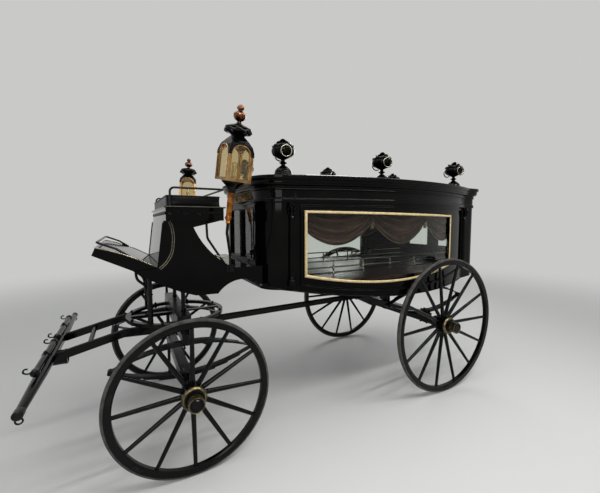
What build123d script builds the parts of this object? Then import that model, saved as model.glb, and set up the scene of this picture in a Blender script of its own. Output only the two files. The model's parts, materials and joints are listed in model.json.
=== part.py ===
"""Horse-drawn funeral carriage with glass sides, driver's boot, lamps and four dished wheels.

Millimetres. +X is forward, +Y is the carriage's left, +Z is up, and the wheels stand on Z = 0.
The origin lies on the floor under the middle of the whole length.
"""
import os
from math import asin, atan2, cos, degrees, radians, sin, sqrt

from build123d import *

os.makedirs("parts", exist_ok=True)

# Lengths counted from the rear axle; the origin lies under the middle of the whole length
bar_ahead = 3050
pole_socket_length = 130
rear_wall_behind = 740
door_gap = 5
door_thickness = 30
knob_radius = 14
knob_reach = 3 * knob_radius
nose = bar_ahead + pole_socket_length / 2
tail = rear_wall_behind + door_gap + door_thickness + knob_reach
rear_axle_x = (tail - nose) / 2
wheelbase = 2260
king_x = rear_axle_x + wheelbase

# Wheels
front_wheel_radius = 500
rear_wheel_radius = 625
front_half_track = 720
rear_half_track = 803
front_spokes = 12
rear_spokes = 14
tyre_width = 32
tyre_depth = 18
tyre_gap = 0.2
felloe_width = 40
felloe_depth = 40
dish = 42
spoke_root_radius = 17
spoke_tip_radius = 12
nave_radius = 76
nave_back = 92
nave_front = 70
nave_shoulder = 20
cap_radius = 36
cap_length = 34
arm_radius = 20
arm_clearance = 0.05
arm_end_gap = 4
collar_gap = 1

# Plan of the body, counted from the rear axle
front_wall_ahead = 1710
front_column_ahead = 1500
rear_column_behind = 520
front_wall_x = rear_axle_x + front_wall_ahead
rear_wall_x = rear_axle_x - rear_wall_behind
front_column_x = rear_axle_x + front_column_ahead
rear_column_x = rear_axle_x - rear_column_behind
column_y = 560
column_radius = 20
column_stand = 14
front_half_width = 350
side_bow = 195
rear_corner_radius = 95
wall = 34

# Heights of the body
skirt_mid_z = 955
skirt_front_z = 1110
skirt_rear_z = 1020
floor_thickness = 36
frame_z = 1100
cornice_z = 1728
window_low_z = 1178
window_high_z = 1656
window_fall = 24
window_sag = 80
window_front_margin = 113
window_rear_margin = 353
panel_low_z = 1100
panel_high_z = 1716
panel_sag = 88
panel_margin = 62
moulding_width = 18
moulding_depth = 10
bead_width = 13
bead_depth = 7
panel_gap = 0.3
skirt_margin = 20
glass_thickness = 5

# Front wall, rear doorway and doors
pane_low_z = 1290
pane_high_z = 1690
pane_edge = 38
mullion = 40
doorway_half_width = 410
doorway_low = 30
doorway_high = 40
door_rail = 70
door_low_panel = 190
door_clear = 6
hinge_barrel_radius = 9
hinge_barrel_length = 60
hinge_pin_radius = 5
hinge_knuckle = 14
hinge_play = 1
hinge_clearance = 0.05

# Cornice steps: lower edge above the cornice line, upper edge, overhang
cornice_steps = (
    (0, 34, 10),
    (34, 96, 2),
    (96, 118, 16),
    (118, 142, 28),
    (142, 172, 42),
    (172, 200, 56),
)
cornice_edge = 8
ceiling = 24
crown_rise = 22
urn_pad_radius = 74
urn_pad_rise = 28

# Roof urns: places ahead of the rear axle, and half of the gap across the roof
urn_places = (1510, 510, -500)
urn_half_gap = 450
urn_height = 258
urn_girth = 88
urn_ring_radius = 45
urn_ring_wire = 6

# Bier deck and rails
deck_thickness = 26
deck_margin = 24
board_half_width = 322
board_rise = 8
board_margin = 40
rail_half_gap = 350
rail_start = -560
rail_end = 1480
rail_radius = 8
rail_height = 112
baluster_count = 6
baluster_radius = 11

# Drapes
drape_thickness = 40
drape_drop = 255
drape_cusp_drop = 70
drape_swags = 3
drape_gap = 0.3
drape_margin = 12

# Driver's boot, seat and toe board, counted from the rear axle and from the boot's deck
boot_half_width = 500
boot_front_ahead = 2420
boot_neck_length = 185
boot_neck_drop = 44
boot_deck_z = 1262
seat_rise = 333
seat_front_ahead = 2370
seat_back_ahead = 2005
boot_front_x = rear_axle_x + boot_front_ahead
seat_z = boot_deck_z + seat_rise
seat_front_x = rear_axle_x + seat_front_ahead
seat_back_x = rear_axle_x + seat_back_ahead
seat_half_width = 550
seat_height = 92
seat_lip = 10
cushion_height = 68
cushion_inset = 8
cushion_gap = 0.3
seat_rail_rise = 50
seat_rail_radius = 7
seat_rail_inset = 16
seat_rail_setback = 30
stay_y = 470
stay_radius = 8
stay_bend = 60
toe_ahead = 2757
toe_x = rear_axle_x + toe_ahead
toe_root_rise = 28
toe_rise = 145
toe_bulge = 16
toe_root_z = boot_deck_z + toe_root_rise
toe_z = toe_root_z + toe_rise
toe_thickness = 50
toe_back_reach = 140
toe_back_rise = 18
toe_half_width = 480
toe_rail_radius = 7
toe_rail_rise = 31
toe_rail_inset = 9
toe_rail_foot = 0.47
toe_rail_knee = 0.68
toe_rail_knee_rise = 22
toe_post_place = 0.6
toe_post_radius = 5

# Boot's side outline: places ahead of the front wall, heights over the boot's deck
boot_step = (215, 0)
boot_sweep = (385, 130)
cut_bulge = (665, -96)
cut_front = (480, -172)
cut_back = (330, -175)
cut_hollow = (140, -88)

# Stays under the seat: places behind the seat's back edge and heights over its underside
stay_path = ((100, -10), (96, -120), (-30, -320))

# Lamps
lamp_ahead = 2019
lamp_x = rear_axle_x + lamp_ahead
lamp_y = 817
lamp_lean_out = 9
lamp_lean_back = 5
lamp_turn = 10
lamp_size = 152
lamp_low_z = 1828
lamp_height = 150
lamp_post = 18
lamp_pane = 3
lamp_arch_rise = 52
lamp_rib = 6
hood_overhang = 5
hood_height = 112
crown_radius = 76
lamp_cap_height = 175
socket_height = 52
socket_inset = 12
stem_radius = 20
stem_drop = 206
lamp_rod_radius = 9
lamp_foot_ahead = 1956
lamp_foot_x = rear_axle_x + lamp_foot_ahead
foot_plate = 8
foot_plate_height = 50
lamp_foot_rise = 90

# Running gear
ring_radius = 362
ring_width = 34
ring_thickness = 13
ring_gap = 0.5
ring_z = 860
king_radius = 16
king_clearance = 0.05
bolster_length = 420
bolster_width = 92
bolster_height = 66
post_places = (-20, 200)
post_half_gap = 250
post_radius = 15
perch_width = 48
perch_height = 44
perch_front_z = 757
perch_rear_z = 790
perch_foot = 40
perch_eye_radius = 38
king_nut_radius = 27
king_nut_height = 14
front_bed_half = 560
bed_width = 72
axle_drop = 25
front_bed_height = 76
rear_bed_half = 600
rear_bed_height = 84
front_spring_y = 500
front_spring_length = 900
rear_spring_y = 550
rear_spring_length = 1000
rear_spring_height = 268
leaf_thickness = 7
leaf_width = 44
leaf_count = 4
clip_length = 64
clip_width = 60
eye_radius = 15
spring_bed_height = 54
loop_reach = 92
loop_half_width = 25
loop_plate = 22
loop_post_radius = 14
futchell_y = 210
futchell_width = 44
futchell_height = 46
bar_x = rear_axle_x + bar_ahead
bar_z = 718
bar_half = 900
bar_radius = 30
bar_end_radius = 20
bar_end_length = 50
bar_straight = 450
bar_flat = 4
tree_half = 265
tree_y = 310
tree_radius = 17
tree_end_radius = 20
tree_end_length = 34
tree_gap = 12
tree_pin_radius = 10
pole_bore_radius = 36
pole_socket_wall = 14


def on_circle(x, y, radius, angle):
    """Point of a circle at an angle in degrees."""
    return (x + radius * cos(radians(angle)), y + radius * sin(radians(angle)))


def crossing(ax, ay, ar, bx, by, br):
    """Crossing point of two circles that lies further out in Y."""
    gap = sqrt((bx - ax) ** 2 + (by - ay) ** 2)
    along = (ar**2 - br**2 + gap**2) / (2 * gap)
    height = sqrt(ar**2 - along**2)
    ux, uy = (bx - ax) / gap, (by - ay) / gap
    mx, my = ax + along * ux, ay + along * uy
    ends = ((mx - height * uy, my + height * ux), (mx + height * uy, my - height * ux))
    return max(ends, key=lambda point: point[1])


# Side of the body in plan: one wide arc from column to column
side_mid_x = (front_column_x + rear_column_x) / 2
side_half_length = (front_column_x - rear_column_x) / 2
side_radius = (side_half_length**2 + side_bow**2) / (2 * side_bow)
side_centre_y = column_y + side_bow - side_radius
front_corner_radius = column_y - front_half_width


def body_plan(grow):
    """Plan of the body, grown outwards."""
    front_x = front_wall_x + grow
    rear_x = rear_wall_x - grow
    corner = front_corner_radius + grow
    side = side_radius + grow
    turn = crossing(front_column_x, front_half_width, corner, side_mid_x, side_centre_y, side)
    turn_angle = degrees(atan2(turn[1] - front_half_width, turn[0] - front_column_x))
    panel_y = column_y + grow
    panel_x = side_mid_x - sqrt(side**2 - (panel_y - side_centre_y) ** 2)
    round_x = rear_wall_x + rear_corner_radius
    round_y = column_y - rear_corner_radius
    with BuildSketch() as plan:
        with BuildLine():
            Line((rear_x, 0), (front_x, 0))
            Line((front_x, 0), (front_x, front_half_width))
            ThreePointArc(
                (front_x, front_half_width),
                on_circle(front_column_x, front_half_width, corner, turn_angle / 2),
                turn,
            )
            ThreePointArc(turn, (side_mid_x, side_centre_y + side), (panel_x, panel_y))
            Line((panel_x, panel_y), (round_x, panel_y))
            ThreePointArc(
                (round_x, panel_y),
                on_circle(round_x, round_y, rear_corner_radius + grow, 135),
                (rear_x, round_y),
            )
            Line((rear_x, round_y), (rear_x, 0))
        make_face()
        mirror(about=Plane.XZ)
    return plan.sketch


def body_slab(low_z, high_z, grow):
    """Solid slab of the body's plan between two heights."""
    with BuildPart() as slab:
        with BuildSketch(Plane.XY.offset(low_z)):
            add(body_plan(grow))
        extrude(amount=high_z - low_z)
    return slab.part


def body_ring(low_z, high_z, grow, thickness):
    """Wall that follows the body's plan between two heights."""
    with BuildPart() as ring:
        with BuildSketch(Plane.XY.offset(low_z)):
            add(body_plan(grow))
            add(body_plan(grow - thickness), mode=Mode.SUBTRACT)
        extrude(amount=high_z - low_z)
    return ring.part


def box_between(low, high):
    """Box between two corners."""
    size = [end - start for start, end in zip(low, high)]
    middle = [(start + end) / 2 for start, end in zip(low, high)]
    with BuildPart() as block:
        with Locations(tuple(middle)):
            Box(*size)
    return block.part


def bar(start, end, radius):
    """Round bar between two points."""
    axis = Vector(*end) - Vector(*start)
    with BuildPart() as rod:
        with BuildSketch(Plane(origin=start, z_dir=axis)):
            Circle(radius)
        extrude(amount=axis.length)
    return rod.part


def bent_rod(points, radius, bends):
    """Round rod along straight runs joined by tangent arcs."""
    with BuildPart() as rod:
        with BuildLine() as path:
            FilletPolyline(*points, radius=bends)
        with BuildSketch(Plane(origin=path.line @ 0, z_dir=path.line % 0)):
            Circle(radius)
        sweep()
    return rod.part


def turned(profile, foot):
    """Turned piece on a vertical axis: profile pairs are radius and height above the foot."""
    with BuildPart() as piece:
        with BuildSketch(Plane.XZ):
            with BuildLine():
                Polyline((0, profile[0][1]), *profile, (0, profile[-1][1]), close=True)
            make_face()
        revolve(axis=Axis.Z)
    return piece.part.moved(Location(foot))


def hoop(radius, wire):
    """Ring about Z with an eight-sided section."""
    with BuildPart() as ring:
        with BuildSketch(Plane.XZ):
            with Locations((radius, 0)):
                RegularPolygon(wire, 8)
        revolve(axis=Axis.Z)
    return ring.part


def pointed_arch(half, foot_z, spring_z, rise):
    """Upright outline with straight sides and two arcs that meet in a point over the middle."""
    radius = (half**2 + rise**2) / (2 * half)
    shift = radius - half
    turn = degrees(atan2(rise, shift))
    lift = on_circle(-shift, spring_z, radius, turn / 2)
    with BuildSketch() as outline:
        with BuildLine():
            Polyline((-half, spring_z), (-half, foot_z), (half, foot_z), (half, spring_z))
            ThreePointArc((half, spring_z), lift, (0, spring_z + rise))
            ThreePointArc((0, spring_z + rise), (-lift[0], lift[1]), (-half, spring_z))
        make_face()
    return outline.sketch


def sagging_face(rear_x, front_x, low_z, high_z, fall, sag):
    """Outline seen from the side: the top falls to the rear, the sill sags between its ends."""
    with BuildSketch() as face:
        with BuildLine():
            Polyline(
                (rear_x, low_z),
                (rear_x, high_z - fall),
                (front_x, high_z),
                (front_x, low_z),
            )
            ThreePointArc(
                (front_x, low_z),
                ((front_x + rear_x) / 2, low_z - sag),
                (rear_x, low_z),
            )
        make_face()
    return face.sketch


def window_face(margin):
    """Side window, grown by a margin."""
    return sagging_face(
        rear_column_x + window_rear_margin - margin,
        front_column_x - window_front_margin + margin,
        window_low_z - margin,
        window_high_z + margin,
        window_fall,
        window_sag,
    )


def panel_face(shrink):
    """Panel that the side's moulding runs round, shrunk by a margin."""
    return sagging_face(
        rear_column_x + panel_margin + shrink,
        front_column_x - panel_margin - shrink,
        panel_low_z + shrink,
        panel_high_z - shrink,
        0,
        panel_sag,
    )


def across_body(face, hole=None):
    """Side outline, or the band between two of them, drawn out across the whole body."""
    with BuildPart() as prism:
        with BuildSketch(Plane.XZ):
            add(face)
            if hole is not None:
                add(hole, mode=Mode.SUBTRACT)
        extrude(amount=2 * column_y, both=True)
    return prism.part


def below_skirt():
    """Everything under the sagging lower edge of the walls."""
    beyond = 2 * wall
    with BuildPart() as space:
        with BuildSketch(Plane.XZ):
            with BuildLine():
                ThreePointArc(
                    (front_wall_x + beyond, skirt_front_z),
                    (side_mid_x, skirt_mid_z),
                    (rear_wall_x - beyond, skirt_rear_z),
                )
                Polyline(
                    (rear_wall_x - beyond, skirt_rear_z),
                    (rear_wall_x - beyond, 0),
                    (front_wall_x + beyond, 0),
                    (front_wall_x + beyond, skirt_front_z),
                )
            make_face()
        extrude(amount=2 * column_y, both=True)
    return space.part


def finish(part, name):
    """Label a sub-part and write it."""
    part.label = name
    export_step(part, f"parts/{name}.step")


# Floor boards inside the walls
with BuildPart() as floor:
    add(body_slab(frame_z - floor_thickness, frame_z, -wall - panel_gap))
finish(floor.part, "floor")

# Bowed side frames, each with one long window and a raised moulding round it
skirt_low_z = skirt_mid_z - skirt_margin
skirt_cut = below_skirt()
for side_name, side_sign in (("left", 1), ("right", -1)):
    with BuildPart() as side_moulding:
        add(body_ring(skirt_low_z, cornice_z, moulding_depth, 2 * moulding_depth))
        add(across_body(panel_face(0), panel_face(moulding_width)), mode=Mode.INTERSECT)
    with BuildPart() as side_frame:
        add(body_ring(skirt_low_z, cornice_z, 0, wall))
        add(side_moulding.part)
        add(across_body(window_face(0)), mode=Mode.SUBTRACT)
        add(skirt_cut, mode=Mode.SUBTRACT)
        add(
            box_between(
                (rear_column_x, min(0, side_sign * 2 * column_y), skirt_low_z),
                (front_column_x, max(0, side_sign * 2 * column_y), cornice_z),
            ),
            mode=Mode.INTERSECT,
        )
    finish(side_frame.part, f"side_frame_{side_name}")

# Light bead round each side window
with BuildPart() as window_beads:
    add(body_ring(skirt_low_z, cornice_z, bead_depth, bead_depth - panel_gap))
    add(across_body(window_face(bead_width), window_face(0)), mode=Mode.INTERSECT)
finish(window_beads.part, "window_beads")

# Window panes of the sides and of the front wall
front_pane_half = (front_half_width - pane_edge - mullion / 2) / 2
front_pane_y = mullion / 2 + front_pane_half
pane_places = [(sign * front_pane_y, (pane_low_z + pane_high_z) / 2) for sign in (-1, 1)]
glass_depth = wall / 2
with BuildPart() as windows:
    add(body_ring(skirt_low_z, cornice_z, -glass_depth, glass_thickness))
    add(across_body(window_face(-panel_gap)), mode=Mode.INTERSECT)
    with BuildSketch(Plane.YZ.offset(front_wall_x - glass_depth - glass_thickness)):
        with Locations(*pane_places):
            Rectangle(2 * front_pane_half, pane_high_z - pane_low_z)
    extrude(amount=glass_thickness)
finish(windows.part, "windows")

# Front wall with two panes and a mullion
wall_middle = (0, (skirt_low_z + cornice_z) / 2)
wall_height = cornice_z - skirt_low_z
with BuildPart() as front_wall:
    with BuildSketch(Plane.YZ.offset(front_wall_x - wall)):
        with Locations(wall_middle):
            Rectangle(2 * front_half_width, wall_height)
        with Locations(*pane_places):
            Rectangle(2 * front_pane_half, pane_high_z - pane_low_z, mode=Mode.SUBTRACT)
    extrude(amount=wall)
    add(skirt_cut, mode=Mode.SUBTRACT)
finish(front_wall.part, "front_wall")

# Rounded corner panels between side frames, front wall and rear frame
rear_half_width = column_y - rear_corner_radius
with BuildPart() as corner_panels:
    add(body_ring(skirt_low_z, cornice_z, 0, wall))
    add(skirt_cut, mode=Mode.SUBTRACT)
    with Locations((side_mid_x, 0, wall_middle[1])):
        Box(2 * side_half_length, 4 * column_y, wall_height, mode=Mode.SUBTRACT)
    for end_x, half_width in ((front_wall_x, front_half_width), (rear_wall_x, rear_half_width)):
        with Locations((end_x, 0, wall_middle[1])):
            Box(4 * wall, 2 * half_width, wall_height, mode=Mode.SUBTRACT)
finish(corner_panels.part, "corner_panels")

# Rear frame round the doorway, with the knuckles and pins of the door hinges
doorway_low_z = frame_z + doorway_low
doorway_high_z = cornice_z - doorway_high
door_back_x = rear_wall_x - door_gap - door_thickness
door_low_z = frame_z + door_clear
door_high_z = cornice_z - door_clear
hinge_x = door_back_x + door_thickness / 2
hinge_y = rear_half_width - hinge_barrel_radius
barrel_places = (door_low_z + door_rail, door_high_z - door_rail - hinge_barrel_length)
knuckle_reach = hinge_barrel_length + 2 * hinge_play
with BuildPart() as rear_frame:
    with BuildSketch(Plane.YZ.offset(rear_wall_x)):
        with Locations(wall_middle):
            Rectangle(2 * rear_half_width, wall_height)
        with Locations((0, (doorway_low_z + doorway_high_z) / 2)):
            Rectangle(
                2 * doorway_half_width,
                doorway_high_z - doorway_low_z,
                mode=Mode.SUBTRACT,
            )
    extrude(amount=wall)
    add(skirt_cut, mode=Mode.SUBTRACT)
    for side_sign in (-1, 1):
        for barrel_z in barrel_places:
            low_z = barrel_z - hinge_play - hinge_knuckle
            for knuckle_z in (low_z, low_z + hinge_knuckle + knuckle_reach):
                with BuildSketch(Plane.XY.offset(knuckle_z)):
                    with Locations((hinge_x, side_sign * hinge_y)):
                        Circle(hinge_barrel_radius)
                    with Locations(((hinge_x + rear_wall_x) / 2, side_sign * hinge_y)):
                        Rectangle(rear_wall_x - hinge_x, 2 * hinge_barrel_radius)
                extrude(amount=hinge_knuckle)
            with BuildSketch(Plane.XY.offset(low_z)):
                with Locations((hinge_x, side_sign * hinge_y)):
                    Circle(hinge_pin_radius)
            extrude(amount=knuckle_reach + 2 * hinge_knuckle)
finish(rear_frame.part, "rear_frame")

# Pair of rear doors that lie over the rear frame, each with its glass and a knob
door_edge_y = hinge_y - hinge_barrel_radius - 2 * hinge_play
door_width = door_edge_y - door_gap / 2
door_glass_low = door_low_z + door_low_panel
door_glass_high = door_high_z - door_rail
door_glass_width = door_width - 2 * door_rail
knob_y = (door_gap + door_rail) / 2
knob_z = (door_low_z + door_glass_low) / 2
door_middle_y = (door_gap + door_width) / 2
# Rings of a knob: radius, distance from the door
knob_rings = (
    (knob_radius / 2, 0),
    (knob_radius / 2, knob_radius),
    (knob_radius, 1.4 * knob_radius),
    (knob_radius, 2.4 * knob_radius),
    (knob_radius / 2, knob_reach),
)
with BuildPart() as rear_door:
    with BuildSketch(Plane.YZ.offset(door_back_x)):
        with Locations((door_middle_y, (door_low_z + door_high_z) / 2)):
            Rectangle(door_width, door_high_z - door_low_z)
        with Locations((door_middle_y, (door_glass_low + door_glass_high) / 2)):
            Rectangle(
                door_glass_width,
                door_glass_high - door_glass_low,
                mode=Mode.SUBTRACT,
            )
    extrude(amount=door_thickness)
    for barrel_z in barrel_places:
        with BuildSketch(Plane.XY.offset(barrel_z)):
            with Locations((hinge_x, hinge_y)):
                Circle(hinge_barrel_radius)
            with Locations((hinge_x, (hinge_y + door_edge_y) / 2)):
                Rectangle(hinge_barrel_radius, hinge_y - door_edge_y)
            with Locations((hinge_x, hinge_y)):
                Circle(hinge_pin_radius + hinge_clearance, mode=Mode.SUBTRACT)
        extrude(amount=hinge_barrel_length)
    knob = turned(knob_rings, (0, 0, 0))
    add(knob.moved(Location((door_back_x, knob_y, knob_z), (0, -90, 0))))
with BuildPart() as rear_glass:
    with BuildSketch(Plane.YZ.offset(hinge_x)):
        with Locations((door_middle_y, (door_glass_low + door_glass_high) / 2)):
            Rectangle(door_glass_width, door_glass_high - door_glass_low)
    extrude(amount=glass_thickness)
for name, piece in (("rear_door", rear_door.part), ("rear_glass", rear_glass.part)):
    finish(piece, f"{name}_left")
    finish(mirror(piece, about=Plane.XZ), f"{name}_right")

# Half columns on the joints between side frames and corner panels
# Rings of a column: radius, height above its foot
column_length = cornice_z - frame_z
column_rings = (
    (column_radius + 12, 0),
    (column_radius + 12, 46),
    (column_radius + 4, 54),
    (column_radius + 4, 66),
    (column_radius, 74),
    (column_radius - 4, column_length - 120),
    (column_radius + 2, column_length - 112),
    (column_radius - 4, column_length - 104),
    (column_radius + 10, column_length - 30),
    (column_radius + 14, column_length - 22),
    (column_radius + 14, column_length),
)
with BuildPart() as columns:
    for column_x in (front_column_x, rear_column_x):
        add(turned(column_rings, (column_x, column_y + column_stand, frame_z)))
    add(body_slab(frame_z, cornice_z, panel_gap), mode=Mode.SUBTRACT)
    mirror(about=Plane.XZ)
finish(columns.part, "columns")

# Roof with its stepped cornice, a low crown and pads for the urns
roof_top_z = cornice_z + cornice_steps[-1][1]
crown_half_width = column_y + side_bow
crown_half_length = (front_wall_x - rear_wall_x) / 2
crown_mid_x = (front_wall_x + rear_wall_x) / 2
crown_across = (crown_half_width**2 + crown_rise**2) / (2 * crown_rise)
crown_along = (crown_half_length**2 + crown_rise**2) / (2 * crown_rise)
urn_z = roof_top_z + urn_pad_rise
urn_spots = [
    (rear_axle_x + place, sign * urn_half_gap) for place in urn_places for sign in (-1, 1)
]
with BuildPart() as crown:
    add(body_slab(roof_top_z, roof_top_z + crown_rise, -cornice_edge))
    crown_z = roof_top_z + crown_rise
    with Locations(Location((crown_mid_x, 0, crown_z - crown_across), (0, 90, 0))):
        Cylinder(crown_across, 4 * crown_half_length, mode=Mode.INTERSECT)
    with Locations(Location((crown_mid_x, 0, crown_z - crown_along), (90, 0, 0))):
        Cylinder(crown_along, 4 * crown_half_length, mode=Mode.INTERSECT)
with BuildPart() as roof:
    for step_low, step_high, overhang in cornice_steps:
        add(body_slab(cornice_z + step_low, cornice_z + step_high, overhang))
    add(crown.part)
    add(body_slab(cornice_z, roof_top_z - ceiling, -wall), mode=Mode.SUBTRACT)
    with BuildSketch(Plane.XY.offset(roof_top_z - cornice_edge)):
        with Locations(*urn_spots):
            Circle(urn_pad_radius)
    extrude(amount=urn_z - roof_top_z + cornice_edge)
finish(roof.part, "roof")

# Six roof urns: bell foot, knop, wide bowl with a lid, and a ring handle on each side
# Rings of an urn: radius, share of its height
urn_profile = (
    (67, 0.00),
    (67, 0.03),
    (60, 0.10),
    (42, 0.17),
    (20, 0.23),
    (15, 0.26),
    (20, 0.28),
    (31, 0.31),
    (20, 0.34),
    (15, 0.37),
    (18, 0.41),
    (46, 0.46),
    (75, 0.54),
    (urn_girth, 0.63),
    (urn_girth, 0.71),
    (80, 0.74),
    (82, 0.77),
    (66, 0.84),
    (38, 0.90),
    (16, 0.93),
    (12, 0.95),
    (15, 0.97),
    (5, 1.00),
)
urn_rings = [(radius, share * urn_height) for radius, share in urn_profile]
urn_ring_y = urn_girth + urn_ring_wire
urn_lug_z = 0.7 * urn_height
with BuildPart() as urn:
    add(turned(urn_rings, (0, 0, 0)))
    add(
        bar(
            (0, -urn_ring_y - 2 * urn_ring_wire, urn_lug_z),
            (0, urn_ring_y + 2 * urn_ring_wire, urn_lug_z),
            2 * urn_ring_wire,
        )
    )
    for side in (-1, 1):
        ring_place = (0, side * urn_ring_y, urn_lug_z - urn_ring_radius)
        add(hoop(urn_ring_radius, urn_ring_wire).moved(Location(ring_place, (90, 0, 0))))
with BuildPart() as roof_urns:
    for spot_x, spot_y in urn_spots:
        add(urn.part.moved(Location((spot_x, spot_y, urn_z))))
finish(roof_urns.part, "roof_urns")

# Bier deck with its raised board, and its rails on turned balusters
deck_z = frame_z + deck_thickness
board_length = front_wall_x - rear_wall_x - 2 * (wall + deck_margin + board_margin)
with BuildPart() as bier_deck:
    add(body_slab(frame_z, deck_z, -wall - deck_margin))
    with BuildSketch(Plane.XY.offset(deck_z)):
        with Locations(((front_wall_x + rear_wall_x) / 2, 0)):
            Rectangle(board_length, 2 * board_half_width)
    extrude(amount=board_rise)
finish(bier_deck.part, "bier_deck")

# Rings of a baluster: radius, share of its height
baluster_profile = (
    (1.2, 0.0),
    (1.2, 0.1),
    (0.6, 0.2),
    (1.0, 0.45),
    (0.5, 0.7),
    (0.6, 1.0),
)
baluster_rings = [
    (baluster_radius * size, rail_height * share) for size, share in baluster_profile
]
with BuildPart() as bier_rails:
    for index in range(baluster_count):
        share = (index + 0.5) / baluster_count
        baluster_x = rear_axle_x + rail_start + share * (rail_end - rail_start)
        add(turned(baluster_rings, (baluster_x, rail_half_gap, deck_z)))
    for height in (rail_height / 2, rail_height):
        add(
            bar(
                (rear_axle_x + rail_start, rail_half_gap, deck_z + height),
                (rear_axle_x + rail_end, rail_half_gap, deck_z + height),
                rail_radius,
            )
        )
    mirror(about=Plane.XZ)
finish(bier_rails.part, "bier_rails")

# Drapes under the ceiling line, inside the side windows: swags that meet in cusps
drape_top_z = roof_top_z - ceiling - drape_gap
drape_low_z = window_high_z - drape_drop
drape_cusp_z = window_high_z - drape_cusp_drop
drape_rear_x = rear_column_x + 2 * wall
drape_front_x = front_column_x - 2 * wall
swag_width = (drape_front_x - drape_rear_x) / drape_swags
with BuildSketch() as swag_face:
    with BuildLine():
        Polyline(
            (drape_rear_x, drape_cusp_z),
            (drape_rear_x, drape_top_z),
            (drape_front_x, drape_top_z),
            (drape_front_x, drape_cusp_z),
        )
        for index in range(drape_swags):
            swag_x = drape_rear_x + index * swag_width
            ThreePointArc(
                (swag_x, drape_cusp_z),
                (swag_x + swag_width / 2, drape_low_z),
                (swag_x + swag_width, drape_cusp_z),
            )
    make_face()
with BuildPart() as drapes:
    add(body_ring(drape_low_z, drape_top_z, -wall - drape_margin, drape_thickness))
    add(across_body(swag_face.sketch), mode=Mode.INTERSECT)
finish(drapes.part, "drapes")

# Driver's boot: side outline with the cut-under for the front wheels
toe_back_x = boot_front_x + toe_back_reach
toe_back_z = boot_deck_z + toe_back_rise
boot_top_x = seat_front_x + seat_lip
boot_neck = (boot_top_x - boot_neck_length, seat_z - boot_neck_drop)


def boot_point(place):
    """Point of the boot's side outline."""
    return (front_wall_x + place[0], boot_deck_z + place[1])


with BuildPart() as boot:
    with BuildSketch(Plane.XZ):
        with BuildLine():
            Polyline(
                (front_wall_x, skirt_front_z),
                (front_wall_x, boot_deck_z),
                boot_point(boot_step),
            )
            ThreePointArc(boot_point(boot_step), boot_point(boot_sweep), boot_neck)
            Polyline(
                boot_neck,
                (seat_back_x + seat_lip, seat_z),
                (boot_top_x, seat_z),
                (boot_front_x, toe_root_z),
                (toe_back_x, toe_back_z),
            )
            ThreePointArc((toe_back_x, toe_back_z), boot_point(cut_bulge), boot_point(cut_front))
            Line(boot_point(cut_front), boot_point(cut_back))
            ThreePointArc(
                boot_point(cut_back),
                boot_point(cut_hollow),
                (front_wall_x, skirt_front_z),
            )
        make_face()
    extrude(amount=boot_half_width, both=True)
    add(body_slab(skirt_front_z - wall, boot_deck_z + wall, panel_gap), mode=Mode.SUBTRACT)
finish(boot.part, "boot")



def toe_top(share, rise=0):
    """Point over the toe board's crowned top, at a share of the way from its root to its tip."""
    crown = 4 * toe_bulge * share * (1 - share)
    return (
        boot_front_x + share * (toe_x - boot_front_x),
        toe_root_z + share * (toe_z - toe_root_z) + crown + rise,
    )


# Toe board that rises forward from the boot, steeper at its root
toe_slope = atan2(toe_z - toe_root_z, toe_x - boot_front_x)
with BuildPart() as toe_board:
    with BuildSketch(Plane.XZ):
        with BuildLine():
            ThreePointArc((boot_front_x, toe_root_z), toe_top(0.5), (toe_x, toe_z))
            Polyline(
                (toe_x, toe_z),
                (toe_x + toe_thickness * sin(toe_slope), toe_z - toe_thickness * cos(toe_slope)),
                (toe_back_x, toe_back_z),
                (boot_front_x, toe_root_z),
            )
        make_face()
    extrude(amount=toe_half_width, both=True)
finish(toe_board.part, "toe_board")

# Rail that leaves the board half way up on each side and crosses over its tip
toe_rail_y = toe_half_width - toe_rail_inset
toe_rail_x = toe_x - toe_rail_inset
foot_x, foot_z = toe_top(toe_rail_foot)
knee_x, knee_z = toe_top(toe_rail_knee, toe_rail_knee_rise)
rail_post_x, rail_post_z = toe_top(toe_post_place)
with BuildPart() as toe_rail:
    add(
        bent_rod(
            (
                (foot_x, -toe_rail_y, foot_z),
                (knee_x, -toe_rail_y, knee_z),
                (toe_rail_x, -toe_rail_y, toe_z + toe_rail_rise),
                (toe_rail_x, toe_rail_y, toe_z + toe_rail_rise),
                (knee_x, toe_rail_y, knee_z),
                (foot_x, toe_rail_y, foot_z),
            ),
            toe_rail_radius,
            4 * toe_rail_radius,
        )
    )
    for side in (-1, 1):
        add(
            bar(
                (rail_post_x, side * toe_rail_y, rail_post_z - toe_post_radius),
                (rail_post_x, side * toe_rail_y, rail_post_z + toe_rail_knee_rise / 2),
                toe_post_radius,
            )
        )
    add(toe_board.part, mode=Mode.SUBTRACT)
finish(toe_rail.part, "toe_rail")

# Seat box with a lipped edge, and the cushion on it
seat_top_z = seat_z + seat_height
with BuildPart() as seat_box:
    with BuildSketch(Plane.XY.offset(seat_z)):
        with Locations(((seat_front_x + seat_back_x) / 2, 0)):
            Rectangle(seat_front_x - seat_back_x, 2 * seat_half_width)
    extrude(amount=seat_height)
    with BuildSketch(Plane.XY.offset(seat_top_z - seat_lip)):
        with Locations(((seat_front_x + seat_back_x) / 2, 0)):
            Rectangle(
                seat_front_x - seat_back_x + 2 * seat_lip,
                2 * (seat_half_width + seat_lip),
            )
    extrude(amount=seat_lip)
finish(seat_box.part, "seat_box")

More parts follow.
